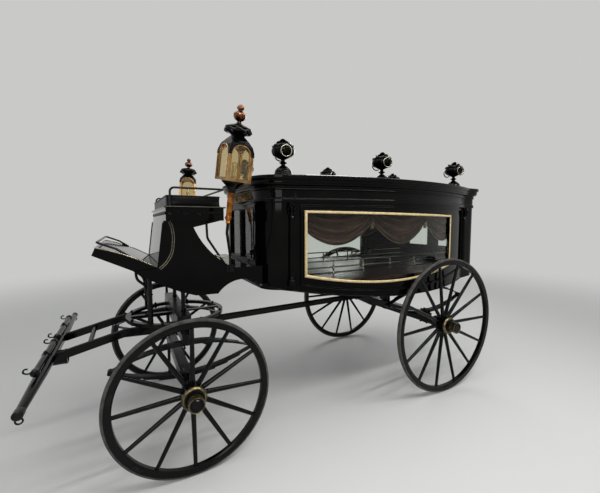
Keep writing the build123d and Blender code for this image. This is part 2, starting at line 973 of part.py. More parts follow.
with BuildPart() as seat_cushion:
    with BuildSketch(Plane.XY.offset(seat_top_z + cushion_gap)):
        with Locations(((seat_front_x + seat_back_x) / 2, 0)):
            Rectangle(
                seat_front_x - seat_back_x - 2 * cushion_inset,
                2 * (seat_half_width - seat_rail_inset - 3 * seat_rail_radius),
            )
    extrude(amount=cushion_height)
    fillet(seat_cushion.edges().group_by(Axis.Z)[-1], cushion_height / 3)
finish(seat_cushion.part, "seat_cushion")

# Iron rail round the seat and the two stays under its back
rail_y = seat_half_width - seat_rail_inset
rail_back_x = seat_back_x - seat_rail_radius
rail_front_x = seat_front_x - seat_rail_setback
rail_top_z = seat_top_z + cushion_height + seat_rail_rise
with BuildPart() as seat_irons:
    add(
        bent_rod(
            (
                (rail_front_x, rail_y, seat_top_z),
                (rail_front_x, rail_y, rail_top_z),
                (rail_back_x, rail_y, rail_top_z),
                (rail_back_x, -rail_y, rail_top_z),
                (rail_front_x, -rail_y, rail_top_z),
                (rail_front_x, -rail_y, seat_top_z),
            ),
            seat_rail_radius,
            4 * seat_rail_radius,
        )
    )
    for sign in (-1, 1):
        stay_points = [(seat_back_x + x, sign * stay_y, seat_z + z) for x, z in stay_path]
        add(bent_rod(stay_points, stay_radius, stay_bend))
    add(boot.part, mode=Mode.SUBTRACT)
finish(seat_irons.part, "seat_irons")

# Lamp bodies: corner posts, sill, arched gables on all four sides and a candle holder inside
# The left lamp stands on its own plane, which leans out and back; the right one mirrors it
lamp_seat = Location(
    (lamp_x, lamp_y, lamp_low_z),
    (-lamp_lean_out, -lamp_lean_back, lamp_turn),
)
lamp_arch_half = lamp_size / 2 - lamp_post
candle_radius = 14


def crossed(outline, length):
    """An outline drawn out along X and along Y, about the lamp's middle."""
    with BuildPart() as both_ways:
        for plane in (Plane.XZ, Plane.YZ):
            with BuildSketch(plane):
                add(outline)
            extrude(amount=length / 2, both=True)
    return both_ways.part


with BuildPart() as lamp_body:
    with Locations((0, 0, lamp_height / 2)):
        Box(lamp_size, lamp_size, lamp_height)
    gable = pointed_arch(
        lamp_arch_half + lamp_rib,
        lamp_post,
        lamp_height,
        lamp_arch_rise + lamp_rib,
    )
    add(crossed(gable, lamp_size))
    opening = pointed_arch(lamp_arch_half, lamp_post, lamp_height, lamp_arch_rise)
    add(crossed(opening, 2 * lamp_size), mode=Mode.SUBTRACT)
    with Locations((0, 0, lamp_post + lamp_height / 4)):
        Cylinder(candle_radius, lamp_height / 2)
with BuildPart() as lamp_bodies:
    add(lamp_body.part.moved(lamp_seat))
    mirror(about=Plane.XZ)
finish(lamp_bodies.part, "lamp_bodies")

# Lamp panes, four to a lamp, with pointed tops
pane_outline = pointed_arch(
    lamp_arch_half - panel_gap,
    lamp_post + panel_gap,
    lamp_height,
    lamp_arch_rise - 2 * panel_gap,
)
pane_reach = (lamp_size - lamp_post) / 2
with BuildPart() as pane:
    with BuildSketch(Plane.YZ.offset(pane_reach)):
        add(pane_outline)
    extrude(amount=lamp_pane)
with BuildPart() as lamp_glass:
    for turn in (0, 90, 180, 270):
        add(pane.part.rotate(Axis.Z, turn).moved(lamp_seat))
    mirror(about=Plane.XZ)
finish(lamp_glass.part, "lamp_glass")

# Lamp caps: square domed hood over the gables, flared crown and flame finial
# Steps of the hood: share of its half width at the eaves, share of its height
hood_steps = ((1.00, 0.00), (0.98, 0.22), (0.86, 0.50), (0.62, 0.76), (0.34, 1.00))
# Rings of the crown and finial: share of the crown's radius, share of their height
cap_profile = (
    (0.38, -0.03),
    (0.46, 0.03),
    (0.40, 0.07),
    (0.60, 0.13),
    (0.90, 0.19),
    (1.00, 0.23),
    (1.00, 0.26),
    (0.75, 0.31),
    (0.36, 0.37),
    (0.16, 0.42),
    (0.15, 0.46),
    (0.30, 0.50),
    (0.45, 0.58),
    (0.42, 0.70),
    (0.22, 0.78),
    (0.13, 0.81),
    (0.24, 0.87),
    (0.20, 0.94),
    (0.04, 1.00),
)
hood_half = lamp_size / 2 + hood_overhang
cap_rings = [(size * crown_radius, share * lamp_cap_height) for size, share in cap_profile]
with BuildPart() as lamp_cap:
    for half_share, height_share in hood_steps:
        with BuildSketch(Plane.XY.offset(lamp_height + panel_gap + height_share * hood_height)):
            Rectangle(2 * hood_half * half_share, 2 * hood_half * half_share)
    loft(ruled=True)
    hood_cut = pointed_arch(
        lamp_arch_half + lamp_rib + panel_gap,
        0,
        lamp_height,
        lamp_arch_rise + lamp_rib + panel_gap,
    )
    add(crossed(hood_cut, 2 * lamp_size), mode=Mode.SUBTRACT)
    add(turned(cap_rings, (0, 0, lamp_height + hood_height)))
with BuildPart() as lamp_caps:
    add(lamp_cap.part.moved(lamp_seat))
    mirror(about=Plane.XZ)
finish(lamp_caps.part, "lamp_caps")

# Lamp stems: a funnel under each lamp and a turned grip in line with it
# Rings: share of the stem's radius, share of its length from its foot
stem_profile = (
    (0.55, 0.00),
    (1.00, 0.04),
    (1.00, 0.09),
    (0.70, 0.12),
    (1.10, 0.17),
    (1.10, 0.22),
    (0.80, 0.26),
    (0.95, 0.60),
    (0.80, 1.00),
)
stem_rings = [(size * stem_radius, share * stem_drop) for size, share in stem_profile]
socket_rings = (
    (stem_radius, -socket_height / 4),
    (1.15 * stem_radius, 0),
    (1.6 * stem_radius, socket_height / 2),
    (lamp_size / 2 - socket_inset, socket_height),
)
stem_foot = (0, 0, -socket_height - stem_drop)
with BuildPart() as lamp_stem:
    add(turned(stem_rings, stem_foot))
    add(turned(socket_rings, (0, 0, -socket_height)))
with BuildPart() as lamp_stems:
    add(lamp_stem.part.moved(lamp_seat))
    mirror(about=Plane.XZ)
finish(lamp_stems.part, "lamp_stems")

# Lamp irons: rod from each stem down to a foot plate on the boot's side
iron_y = boot_half_width + foot_plate / 2 + lamp_rod_radius
rod_head = lamp_seat * Location(stem_foot)
rod_below = lamp_seat * Location((0, 0, stem_foot[2] - 6 * lamp_rod_radius))
with BuildPart() as lamp_irons:
    add(
        bent_rod(
            (
                tuple(rod_head.position),
                tuple(rod_below.position),
                (lamp_foot_x, iron_y, boot_deck_z + lamp_foot_rise),
                (lamp_foot_x, iron_y, boot_deck_z - foot_plate_height / 2),
            ),
            lamp_rod_radius,
            4 * lamp_rod_radius,
        )
    )
    with Locations((lamp_foot_x, boot_half_width + foot_plate / 2, boot_deck_z)):
        Box(foot_plate_height, foot_plate, foot_plate_height)
    mirror(about=Plane.XZ)
finish(lamp_irons.part, "lamp_irons")

# Fifth wheel, upper half: ring, bolster, posts up to the boot, stays and the king pin
upper_ring_z = ring_z
lower_ring_z = ring_z - ring_gap - ring_thickness
bolster_z = upper_ring_z + ring_thickness
spring_bed_z = lower_ring_z - spring_bed_height
king_low_z = perch_front_z - perch_height / 2 - king_nut_height
with BuildPart() as fifth_wheel_top:
    with BuildSketch(Plane.XY.offset(upper_ring_z)):
        with Locations((king_x, 0)):
            Circle(ring_radius)
            Circle(ring_radius - ring_width, mode=Mode.SUBTRACT)
            Rectangle(bolster_width, 2 * ring_radius - ring_width)
            Rectangle(2 * ring_radius - ring_width, ring_width)
    extrude(amount=ring_thickness)
    with BuildSketch(Plane.XY.offset(bolster_z)):
        with Locations((king_x, 0)):
            Rectangle(bolster_width, 2 * bolster_length)
    extrude(amount=bolster_height)
    for place in post_places:
        for side in (-1, 1):
            add(
                bar(
                    (king_x + place, side * post_half_gap, upper_ring_z + ring_thickness / 2),
                    (king_x + place, side * post_half_gap, boot_deck_z - panel_gap),
                    post_radius,
                )
            )
    add(bar((king_x, 0, king_low_z), (king_x, 0, bolster_z), king_radius))
    add(bar((king_x, 0, king_low_z), (king_x, 0, king_low_z + king_nut_height), king_nut_radius))
    add(boot.part, mode=Mode.SUBTRACT)
finish(fifth_wheel_top.part, "fifth_wheel_top")

# Perch from its eye on the king pin straight back to its foot on the rear axle
rear_bed_top_z = rear_wheel_radius - axle_drop + rear_bed_height
perch_half = perch_height / 2
with BuildPart() as perch:
    with BuildSketch(Plane.XZ):
        with BuildLine():
            Polyline(
                (rear_axle_x - perch_foot, rear_bed_top_z),
                (rear_axle_x - perch_foot, perch_rear_z + perch_half),
                (king_x, perch_front_z + perch_half),
                (king_x, perch_front_z - perch_half),
                (rear_axle_x + 3 * perch_foot, perch_rear_z - perch_half),
                (rear_axle_x + perch_foot, rear_bed_top_z),
                close=True,
            )
        make_face()
    extrude(amount=perch_width / 2, both=True)
    with BuildSketch(Plane.XY.offset(perch_front_z - perch_half)):
        with Locations((king_x, 0)):
            Circle(perch_eye_radius)
    extrude(amount=perch_height)
    with BuildSketch(Plane.XY.offset(perch_front_z - perch_height)):
        with Locations((king_x, 0)):
            Circle(king_radius + panel_gap)
    extrude(amount=2 * perch_height, mode=Mode.SUBTRACT)
finish(perch.part, "perch")


def axle(x, z, bed_half, bed_height, half_track):
    """Axle: wooden bed, collars and round arms that carry the naves."""
    arm_end = half_track + nave_front - arm_end_gap
    collar_y = half_track - dish - nave_back - collar_gap
    with BuildPart() as whole:
        with Locations((x, 0, z - axle_drop + bed_height / 2)):
            Box(bed_width, 2 * bed_half, bed_height)
        add(bar((x, -arm_end, z), (x, arm_end, z), arm_radius))
        for side in (-1, 1):
            add(bar((x, side * bed_half, z), (x, side * collar_y, z), 2 * arm_radius))
    return whole.part


finish(axle(rear_axle_x, rear_wheel_radius, rear_bed_half, rear_bed_height, rear_half_track), "rear_axle")
finish(axle(king_x, front_wheel_radius, front_bed_half, front_bed_height, front_half_track), "front_axle")


def leaf(half_length, radius, thickness, half_chord, camber):
    """One leaf of a lower half spring: a band between two arcs, middle at the origin's line."""
    inner = radius
    outer = radius + thickness
    angle = degrees(asin(half_length / radius))
    centre_z = (half_chord**2 + camber**2) / (2 * camber) - camber
    with BuildSketch() as band:
        with BuildLine():
            ThreePointArc(
                on_circle(0, centre_z, inner, -90 - angle),
                on_circle(0, centre_z, inner, -90),
                on_circle(0, centre_z, inner, -90 + angle),
            )
            ThreePointArc(
                on_circle(0, centre_z, outer, -90 - angle),
                on_circle(0, centre_z, outer, -90),
                on_circle(0, centre_z, outer, -90 + angle),
            )
            Line(
                on_circle(0, centre_z, inner, -90 - angle),
                on_circle(0, centre_z, outer, -90 - angle),
            )
            Line(
                on_circle(0, centre_z, inner, -90 + angle),
                on_circle(0, centre_z, outer, -90 + angle),
            )
        make_face()
    return band.sketch


def elliptic_spring(length, height):
    """Full elliptic spring lengthwise, its middle at the origin: two leaf packs and end eyes."""
    half_chord = length / 2
    camber = height / 2 - leaf_count * leaf_thickness
    radius = (half_chord**2 + camber**2) / (2 * camber)
    with BuildPart() as spring:
        with BuildSketch(Plane.XZ):
            for index in range(leaf_count):
                reach = half_chord * (1 - index / (leaf_count + 1))
                add(
                    leaf(
                        reach,
                        radius + index * leaf_thickness,
                        leaf_thickness,
                        half_chord,
                        camber,
                    )
                )
            mirror(about=Plane.XZ)
            with Locations((-half_chord, 0), (half_chord, 0)):
                Circle(eye_radius)
        extrude(amount=leaf_width / 2, both=True)
        for sign in (-1, 1):
            with Locations((0, 0, sign * (height / 2 - leaf_count * leaf_thickness / 2))):
                Box(clip_length, clip_width, leaf_count * leaf_thickness)
    return spring.part


# Springs: rear pair on the rear axle, front pair on the front axle
front_bed_top_z = front_wheel_radius - axle_drop + front_bed_height
front_spring_height = spring_bed_z - front_bed_top_z
for gear_name, spring_x, spring_y, low_z, length, height in (
    ("rear", rear_axle_x, rear_spring_y, rear_bed_top_z, rear_spring_length, rear_spring_height),
    ("front", king_x, front_spring_y, front_bed_top_z, front_spring_length, front_spring_height),
):
    with BuildPart() as springs:
        with Locations((spring_x, spring_y, low_z + height / 2), (spring_x, -spring_y, low_z + height / 2)):
            add(elliptic_spring(length, height))
    finish(springs.part, f"{gear_name}_springs")

# Body loops from the rear springs up to the floor
loop_z = rear_bed_top_z + rear_spring_height
with BuildPart() as body_loops:
    for side in (-1, 1):
        add(
            box_between(
                (rear_axle_x - loop_reach, side * rear_spring_y - loop_half_width, loop_z),
                (rear_axle_x + loop_reach, side * rear_spring_y + loop_half_width, loop_z + loop_plate),
            )
        )
        for end_x in (loop_post_radius - loop_reach, loop_reach - loop_post_radius):
            add(
                bar(
                    (rear_axle_x + end_x, side * rear_spring_y, loop_z),
                    (rear_axle_x + end_x, side * rear_spring_y, frame_z - floor_thickness),
                    loop_post_radius,
                )
            )
finish(body_loops.part, "body_loops")

# Fifth wheel, lower half: ring on the spring bed, bored for the king pin
with BuildPart() as fifth_wheel_bottom:
    with BuildSketch(Plane.XY.offset(lower_ring_z)):
        with Locations((king_x, 0)):
            Circle(ring_radius)
            Circle(ring_radius - ring_width, mode=Mode.SUBTRACT)
            Rectangle(bed_width, 2 * ring_radius - ring_width)
    extrude(amount=ring_thickness)
    with BuildSketch(Plane.XY.offset(spring_bed_z)):
        with Locations((king_x, 0)):
            Rectangle(bed_width, 2 * front_spring_y + leaf_width + 2 * wall)
    extrude(amount=spring_bed_height)
    with BuildSketch(Plane.XY.offset(spring_bed_z)):
        with Locations((king_x, 0)):
            Circle(king_radius + king_clearance)
    extrude(amount=spring_bed_height + ring_thickness, mode=Mode.SUBTRACT)
finish(fifth_wheel_bottom.part, "fifth_wheel_bottom")

# Futchells from the spring bed forward and down to the splinter bar, with the pole socket
futchell_back_x = king_x + bed_width / 2
bar_seat_x = bar_x - bar_radius + bar_flat
tie_x = (king_x + ring_radius + bar_x) / 2
tie_z = (spring_bed_z + bar_z + futchell_height / 2) / 2
with BuildPart() as futchells:
    with BuildSketch(Plane.XZ):
        with BuildLine():
            Polyline(
                (futchell_back_x, spring_bed_z),
                (futchell_back_x, spring_bed_z + futchell_height),
                (king_x + ring_radius, spring_bed_z + futchell_height),
                (bar_seat_x, bar_z + futchell_height / 2),
                (bar_seat_x, bar_z - futchell_height / 2),
                (king_x + ring_radius, spring_bed_z),
                close=True,
            )
        make_face()
    extrude(amount=futchell_y + futchell_width / 2, both=True)
    with Locations((king_x + ring_radius, 0, spring_bed_z)):
        Box(4 * ring_radius, 2 * futchell_y - futchell_width, 4 * ring_radius, mode=Mode.SUBTRACT)
    add(
        bar(
            (tie_x, -futchell_y, tie_z),
            (tie_x, futchell_y, tie_z),
            futchell_height / 3,
        )
    )
finish(futchells.part, "futchells")

# Splinter bar, tapered to its ferrules, with the pole socket under its middle
# Rings of the bar: radius, distance from its middle
bar_rings = (
    (bar_end_radius, -bar_half),
    (bar_end_radius, bar_end_length - bar_half),
    (bar_radius, -bar_straight),
    (bar_radius, bar_straight),
    (bar_end_radius, bar_half - bar_end_length),
    (bar_end_radius, bar_half),
)
pole_z = bar_z - bar_radius - pole_bore_radius - pole_socket_wall / 2
with BuildPart() as splinter_bar:
    add(turned(bar_rings, (0, 0, 0)).moved(Location((bar_x, 0, bar_z), (90, 0, 0))))
    add(
        bar(
            (bar_x - pole_socket_length / 2, 0, pole_z),
            (bar_x + pole_socket_length / 2, 0, pole_z),
            pole_bore_radius + pole_socket_wall,
        )
    )
    add(
        bar(
            (bar_x - pole_socket_length, 0, pole_z),
            (bar_x + pole_socket_length, 0, pole_z),
            pole_bore_radius,
        ),
        mode=Mode.SUBTRACT,
    )
    add(
        box_between(
            (bar_x - 2 * bar_radius, -futchell_y - futchell_width, bar_z - bar_radius),
            (bar_seat_x, futchell_y + futchell_width, bar_z + bar_radius),
        ),
        mode=Mode.SUBTRACT,
    )
finish(splinter_bar.part, "splinter_bar")

# Swingletrees over the splinter bar, each on its pin
tree_z = bar_z + bar_radius + tree_gap + tree_radius
with BuildPart() as swingletrees:
    for side in (-1, 1):
        middle = side * tree_y
        add(bar((bar_x, middle - tree_half, tree_z), (bar_x, middle + tree_half, tree_z), tree_radius))
        for end in (-1, 1):
            add(
                bar(
                    (bar_x, middle + end * (tree_half - tree_end_length), tree_z),
                    (bar_x, middle + end * tree_half, tree_z),
                    tree_end_radius,
                )
            )
        add(bar((bar_x, middle, bar_z), (bar_x, middle, tree_z), tree_pin_radius))
    add(splinter_bar.part, mode=Mode.SUBTRACT)
finish(swingletrees.part, "swingletrees")


def wheel(radius, spoke_count):
    """Wooden wheel about Z, outboard side up: nave, dished spokes and felloe."""
    felloe_out = radius - tyre_depth - tyre_gap
    felloe_in = felloe_out - felloe_depth
    nave_rings = (
        (58, -dish - nave_back),
        (58, -dish - nave_back + 14),
        (nave_radius - 6, -dish - 34),
        (nave_radius, -dish - 24),
        (nave_radius, nave_shoulder),
        (nave_radius - 6, nave_shoulder + 8),
        (52, nave_shoulder + 12),
        (46, nave_front - 8),
        (cap_radius, nave_front - 4),
        (cap_radius, nave_front + cap_length - 8),
        (cap_radius - 8, nave_front + cap_length),
    )
    felloe_half = felloe_width / 2
    edge = felloe_half / 3
    with BuildPart() as spoke:
        root = Vector(nave_radius / 2, 0, -dish)
        tip = Vector(felloe_in + felloe_depth / 2, 0, 0)
        with BuildSketch(Plane(origin=root, z_dir=tip - root)):
            Circle(spoke_root_radius)
        with BuildSketch(Plane(origin=tip, z_dir=tip - root)):
            Circle(spoke_tip_radius)
        loft()
    with BuildPart() as whole:
        add(turned(nave_rings, (0, 0, 0)))
        with BuildSketch(Plane.XZ):
            with BuildLine():
                Polyline(
                    (felloe_in, -felloe_half + edge),
                    (felloe_in + edge, -felloe_half),
                    (felloe_out, -felloe_half),
                    (felloe_out, felloe_half),
                    (felloe_in + edge, felloe_half),
                    (felloe_in, felloe_half - edge),
                    close=True,
                )
            make_face()
        revolve(axis=Axis.Z)
        with PolarLocations(0, spoke_count):
            add(spoke.part)
        with BuildSketch(Plane.XY.offset(-dish - nave_back)):
            Circle(arm_radius + arm_clearance)
        extrude(amount=dish + nave_back + nave_front, mode=Mode.SUBTRACT)
    return whole.part


def tyre(radius):
    """Tyre about Z: a band with its tread crowned to a blunt ridge."""
    half = tyre_width / 2
    with BuildPart() as band:
        with BuildSketch(Plane.XZ):
            with BuildLine():
                Polyline(
                    (radius - tyre_depth, -half),
                    (radius - half / 3, -half),
                    (radius, 0),
                    (radius - half / 3, half),
                    (radius - tyre_depth, half),
                    close=True,
                )
            make_face()
        revolve(axis=Axis.Z)
    return band.part


# Wheels and tyres at the four corners
for end_name, wheel_x, radius, half_track, spoke_count in (
    ("front", king_x, front_wheel_radius, front_half_track, front_spokes),
    ("rear", rear_axle_x, rear_wheel_radius, rear_half_track, rear_spokes),
):
    wood = wheel(radius, spoke_count)
    band = tyre(radius)
    for side_name, tilt in (("left", -90), ("right", 90)):
        hub_y = half_track if side_name == "left" else -half_track
        place = Location((wheel_x, hub_y, radius), (tilt, 0, 0))
        finish(wood.moved(place), f"{end_name}_wheel_{side_name}")
        finish(band.moved(place), f"{end_name}_tyre_{side_name}")
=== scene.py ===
import json
from math import pi, radians

import bmesh
import bpy
import numpy as np
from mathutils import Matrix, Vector


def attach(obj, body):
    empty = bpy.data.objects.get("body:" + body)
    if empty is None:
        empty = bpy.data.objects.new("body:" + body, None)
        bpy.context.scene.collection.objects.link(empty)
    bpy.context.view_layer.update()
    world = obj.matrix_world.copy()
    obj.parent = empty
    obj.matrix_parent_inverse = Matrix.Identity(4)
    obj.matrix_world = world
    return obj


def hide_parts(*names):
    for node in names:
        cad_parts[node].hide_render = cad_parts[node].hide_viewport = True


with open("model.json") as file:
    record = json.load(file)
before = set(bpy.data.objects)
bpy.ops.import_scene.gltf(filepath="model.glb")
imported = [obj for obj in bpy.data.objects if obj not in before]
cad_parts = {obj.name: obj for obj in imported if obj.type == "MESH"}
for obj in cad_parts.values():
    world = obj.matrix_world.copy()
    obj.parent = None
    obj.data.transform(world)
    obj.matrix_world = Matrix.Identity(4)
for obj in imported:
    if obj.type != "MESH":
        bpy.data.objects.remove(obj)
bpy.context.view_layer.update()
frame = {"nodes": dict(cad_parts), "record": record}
print("frame loaded", len(frame["nodes"]), "nodes")

# Lengths in metres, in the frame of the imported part, unless they stand in mm()
rearAxle = -1.149
kingPin = rearAxle + 2.26
forward, aside, upright = np.eye(3)
bothSides = dict(left=1, right=-1)


def toLinear(hexColour):
    # sRGB hex to linear: low values over 12.92, the others by the 2.4 power curve
    raw = np.array([int(hexColour[i:i + 2], 16) for i in (1, 3, 5)]) / 255
    flat = np.where(raw <= 0.04045, raw / 12.92, ((raw + 0.055) / 1.055) ** 2.4)
    return (*flat.tolist(), 1.0)


def addNode(tree, kind, inputs=None, out=0, to=None, **settings):
    # Adds a node, sets or links its inputs (hex strings are colours) and gives one of its outputs
    made = tree.nodes.new("ShaderNode" + kind)
    for key, value in settings.items():
        setattr(made, key, value)
    for key, value in (inputs or {}).items():
        if isinstance(value, bpy.types.NodeSocket):
            tree.links.new(value, made.inputs[key])
        else:
            made.inputs[key].default_value = toLinear(value) if isinstance(value, str) else value
    if to is not None:
        tree.links.new(made.outputs[out], to)
    return made.outputs[out] if made.outputs else None


def startMaterial(name, sockets):
    made = bpy.data.materials.new(name)
    made.use_nodes = True
    tree = made.node_tree
    tree.nodes.clear()
    skin = addNode(tree, "BsdfPrincipled", sockets)
    addNode(tree, "OutputMaterial", {"Surface": skin})
    return made, tree, skin.node.inputs, addNode(tree, "TexCoord", out="Object")


def turns(count):
    # Angles of one full turn, without the last, which is the first again
    return np.linspace(0, 2 * pi, count, endpoint=False)


def pointsOf(x, y, z):
    # Coordinates, each an array or one number, joined to points
    return np.stack(np.broadcast_arrays(x, y, z), -1)


def gridFaces(rows, cols, wrap, start):
    # Quads between neighbouring rows and columns; the last column joins the first when wrapped
    i = np.arange(rows - 1)[:, None]
    j = np.arange(cols if wrap else cols - 1)[None, :]
    k = (j + 1) % cols
    quads = np.stack([i * cols + j, i * cols + k, (i + 1) * cols + k, (i + 1) * cols + j], -1)
    return (quads.reshape(-1, 4) + start).tolist()


def unpacked(entry):
    # A grid alone is wrapped round and has no end caps
    return entry if isinstance(entry, tuple) else (entry, True, False)


def makePiece(name, grids, material, body="carriage", sharp=40, replaced=None):
    # A grid is an array of points[rows, cols, 3], wrapped round; or (points, wrapped, end caps)
    points, faces, start = [], [], 0
    for entry in grids:
        grid, wrap, caps = unpacked(entry)
        rows, cols = grid.shape[:2]
        points.append(grid.reshape(-1, 3))
        faces += gridFaces(rows, cols, wrap, start)
        if caps:
            faces.append(list(range(start, start + cols)))
            faces.append(list(range(start + (rows - 1) * cols, start + rows * cols)))
        start += rows * cols
    mesh = bpy.data.meshes.new(name)
    mesh.from_pydata(np.concatenate(points).tolist(), [], faces)
    work = bmesh.new()
    work.from_mesh(mesh)
    bmesh.ops.remove_doubles(work, verts=work.verts, dist=1e-5)
    bmesh.ops.recalc_face_normals(work, faces=work.faces)
    work.to_mesh(mesh)
    work.free()
    mesh.shade_smooth()
    mesh.set_sharp_from_angle(angle=radians(sharp))
    made = bpy.data.objects.new(name, mesh)
    bpy.context.scene.collection.objects.link(made)
    mesh.materials.append(material)
    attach(made, body)
    if replaced:
        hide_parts(replaced)
    return made


def sideAxes(axis):
    # Two unit vectors square to an axis and to each other
    axis = np.array(axis, float) / np.linalg.norm(axis)
    side = np.cross(upright, axis)
    side = np.array([1.0, 0, 0]) if np.linalg.norm(side) < 1e-6 else side / np.linalg.norm(side)
    return axis, side, np.cross(axis, side)


def turned(rings, spot=(0, 0, 0), axis=(0, 0, 1), steps=48, ripple=None):
    # Rings of radius and height, turned about an axis; ripple(angle, height) scales the radius
    rings = np.asarray(rings, float)
    angle = turns(steps)
    radius = np.repeat(rings[:, :1], steps, 1)
    height = np.repeat(rings[:, 1:], steps, 1)
    if ripple is not None:
        radius = radius * ripple(angle[None, :], height)
    axis, side, up = sideAxes(axis)
    flat = [(radius * wave(angle))[..., None] for wave in (np.cos, np.sin)]
    return np.array(spot) + flat[0] * side + flat[1] * up + height[..., None] * axis


def ringGrid(centre, axis, radius, wire, steps=36, sides=10):
    # Torus: a small circle of the wire carried round a large circle square to the axis
    axis, side, up = sideAxes(axis)
    around = turns(steps)[:, None, None]
    small = turns(sides)[None, :, None]
    spoke = np.cos(around) * side + np.sin(around) * up
    loop = np.array(centre) + spoke * (radius + wire * np.cos(small)) + axis * wire * np.sin(small)
    return np.concatenate([loop, loop[:1]], 0)


def mm(*pairs):
    # Section tables are written in millimetres, radius or margin first and height second
    return np.array(pairs) / 1000


def midHalf(low, high):
    # Middle and half length of a stretch
    return (low + high) / 2, (high - low) / 2


def smoothCurve(table, count):
    # Catmull-Rom curve through the table's points
    table = np.asarray(table, float)
    padded = np.vstack([2 * table[0] - table[1], table, 2 * table[-1] - table[-2]])
    t = np.linspace(0, len(table) - 1 - 1e-9, count)
    k = t.astype(int)
    f = (t - k)[:, None]
    a, b, c, d = padded[k], padded[k + 1], padded[k + 2], padded[k + 3]
    return 0.5 * (2 * b + (c - a) * f + (2 * a - 5 * b + 4 * c - d) * f**2 + (3 * b - a - 3 * c + d) * f**3)


def tube(path, radius, sides=12, squeeze=1.0):
    # Circle carried along a path, with frames carried forward so that the tube never twists
    path = np.asarray(path, float)
    radius = np.broadcast_to(radius, len(path))
    along = np.gradient(path, axis=0)
    along /= np.linalg.norm(along, axis=1, keepdims=True)
    first = np.cross(along[0], [0.31, 0.17, 0.94])
    side = [first / np.linalg.norm(first)]
    for step in along[1:]:
        bent = side[-1] - step * np.dot(side[-1], step)
        side.append(bent / np.linalg.norm(bent))
    side = np.array(side)
    up = np.cross(along, side)
    angle = turns(sides)[None, :, None]
    grid = path[:, None] + radius[:, None, None] * (np.cos(angle) * side[:, None]
        + squeeze * np.sin(angle) * up[:, None])
    return grid, True, True


def rod(points, radius, count=30, sides=12):
    return tube(smoothCurve(points, count), radius, sides)


def loopTube(points, normal, radius, sides=10):
    # Round wire along a closed flat loop of points
    points = np.asarray(points, float)
    along = np.roll(points, -1, 0) - np.roll(points, 1, 0)
    along /= np.linalg.norm(along, axis=1, keepdims=True)
    side = np.cross(along, normal)
    angle = turns(sides)[None, :, None]
    grid = points[:, None] + radius * (np.cos(angle) * side[:, None]
        + np.sin(angle) * np.asarray(normal, float))
    return np.concatenate([grid, grid[:1]])


def roundedLoop(halfWide, halfTall, corner, count=6):
    # Rectangle with round corners, as flat points
    quarter = np.linspace(0, pi / 2, count)
    arc = corner * np.stack([np.cos(quarter), np.sin(quarter)], -1)
    flip = np.array([[1, 1], [-1, 1], [-1, -1], [1, -1]])
    middles = np.array([halfWide - corner, halfTall - corner]) * flip
    arcs = [middles[k] + (arc if k % 2 == 0 else arc[::-1]) * flip[k] for k in range(4)]
    return np.vstack(arcs)


def halfRound(width, rise, base=0.0, start=0.0, count=9):
    # Section of a bead: margin grows over its width, height follows half a circle
    t = np.linspace(0, pi, count)
    return np.column_stack([start + width / 2 * (1 - np.cos(t)), base + rise * np.sin(t)])


def frameBand(centre, half, across, up, out, section):
    # Section pairs (margin, rise) carried round a rectangle, mitred at its corners
    signs = np.array([[-1, -1], [-1, 1], [1, 1], [1, -1]], float)
    rows = []
    for margin, rise in section:
        flat = signs * (np.array(half) + margin)
        rows.append(np.array(centre) + flat[:, :1] * across + flat[:, 1:] * up + rise * out)
    return np.stack(rows + rows[:1])


def flatBead(centre, half, out, *section):
    # Half-round bead round a rectangle on a wall that faces ahead (out 1) or back (out -1)
    return frameBand(centre, half, aside, upright, out * forward, halfRound(*section))


def lozenge(centre, across, up, out, half, rows=7, cols=12):
    # Ellipsoid with half axes along three directions
    polar = np.linspace(0, pi, rows)[:, None, None]
    around = turns(cols)[None, :, None]
    return np.array(centre) + half[0] * np.cos(polar) * across + np.sin(polar) * (half[1] * np.cos(around)
        * up + half[2] * np.sin(around) * out)


def nut(spot, axis, radius=0.01, tall=0.009):
    # Six-sided nut with the end of its bolt standing out
    return [(turned([(radius, 0), (radius, tall)], spot, axis, 6), True, True),
        (turned([(radius * 0.5, tall), (radius * 0.5, tall * 1.5), (radius * 0.3, tall * 1.7)], spot, axis,
        10), True, True)]


# The camera stands at the carriage's left front corner, where the photographer stood
camera = dict(place=(1.432, 2.703, 1.584), yaw=-118.384, pitch=-4.382, roll=0.131, lens=19.102)
eye = bpy.data.objects.new("eye", bpy.data.cameras.new("eye"))
bpy.context.scene.collection.objects.link(eye)
eye.data.lens = camera["lens"]
eye.data.sensor_width = 36
eye.data.clip_start = 0.05
eye.location = camera["place"]
eye.rotation_euler = (radians(90 + camera["pitch"]), radians(camera["roll"]), radians(camera["yaw"] - 90))
bpy.context.scene.camera = eye


def makeMottled(name, sockets, colours, cloud, span=(0.3, 0.7), rough=None, bump=None):
    # A noise cloud of (scale, detail) blends two colours and sways the roughness between two values;
    # bump is the depth of that cloud, or the depth, scale and detail of a finer noise of its own
    made, tree, skin, place = startMaterial(name, sockets)
    noise = addNode(tree, "TexNoise", {"Vector": place, "Scale": cloud[0], "Detail": cloud[1]})
    if colours:
        share = addNode(tree, "MapRange", {"Value": noise, "From Min": span[0], "From Max": span[1]})
        addNode(tree, "Mix", {0: share, 6: colours[0], 7: colours[1]}, 2, skin["Base Color"],
            data_type="RGBA")
    if rough:
        addNode(tree, "MapRange", {"Value": noise, "From Min": 0.3, "From Max": 0.7, "To Min": rough[0],
            "To Max": rough[1]}, 0, skin["Roughness"])
    if bump:
        fine = noise if len(bump) == 1 else addNode(tree, "TexNoise",
            {"Vector": place, "Scale": bump[1], "Detail": bump[2]})
        addNode(tree, "Bump", {"Height": fine, "Distance": bump[0]}, 0, skin["Normal"])
    return made


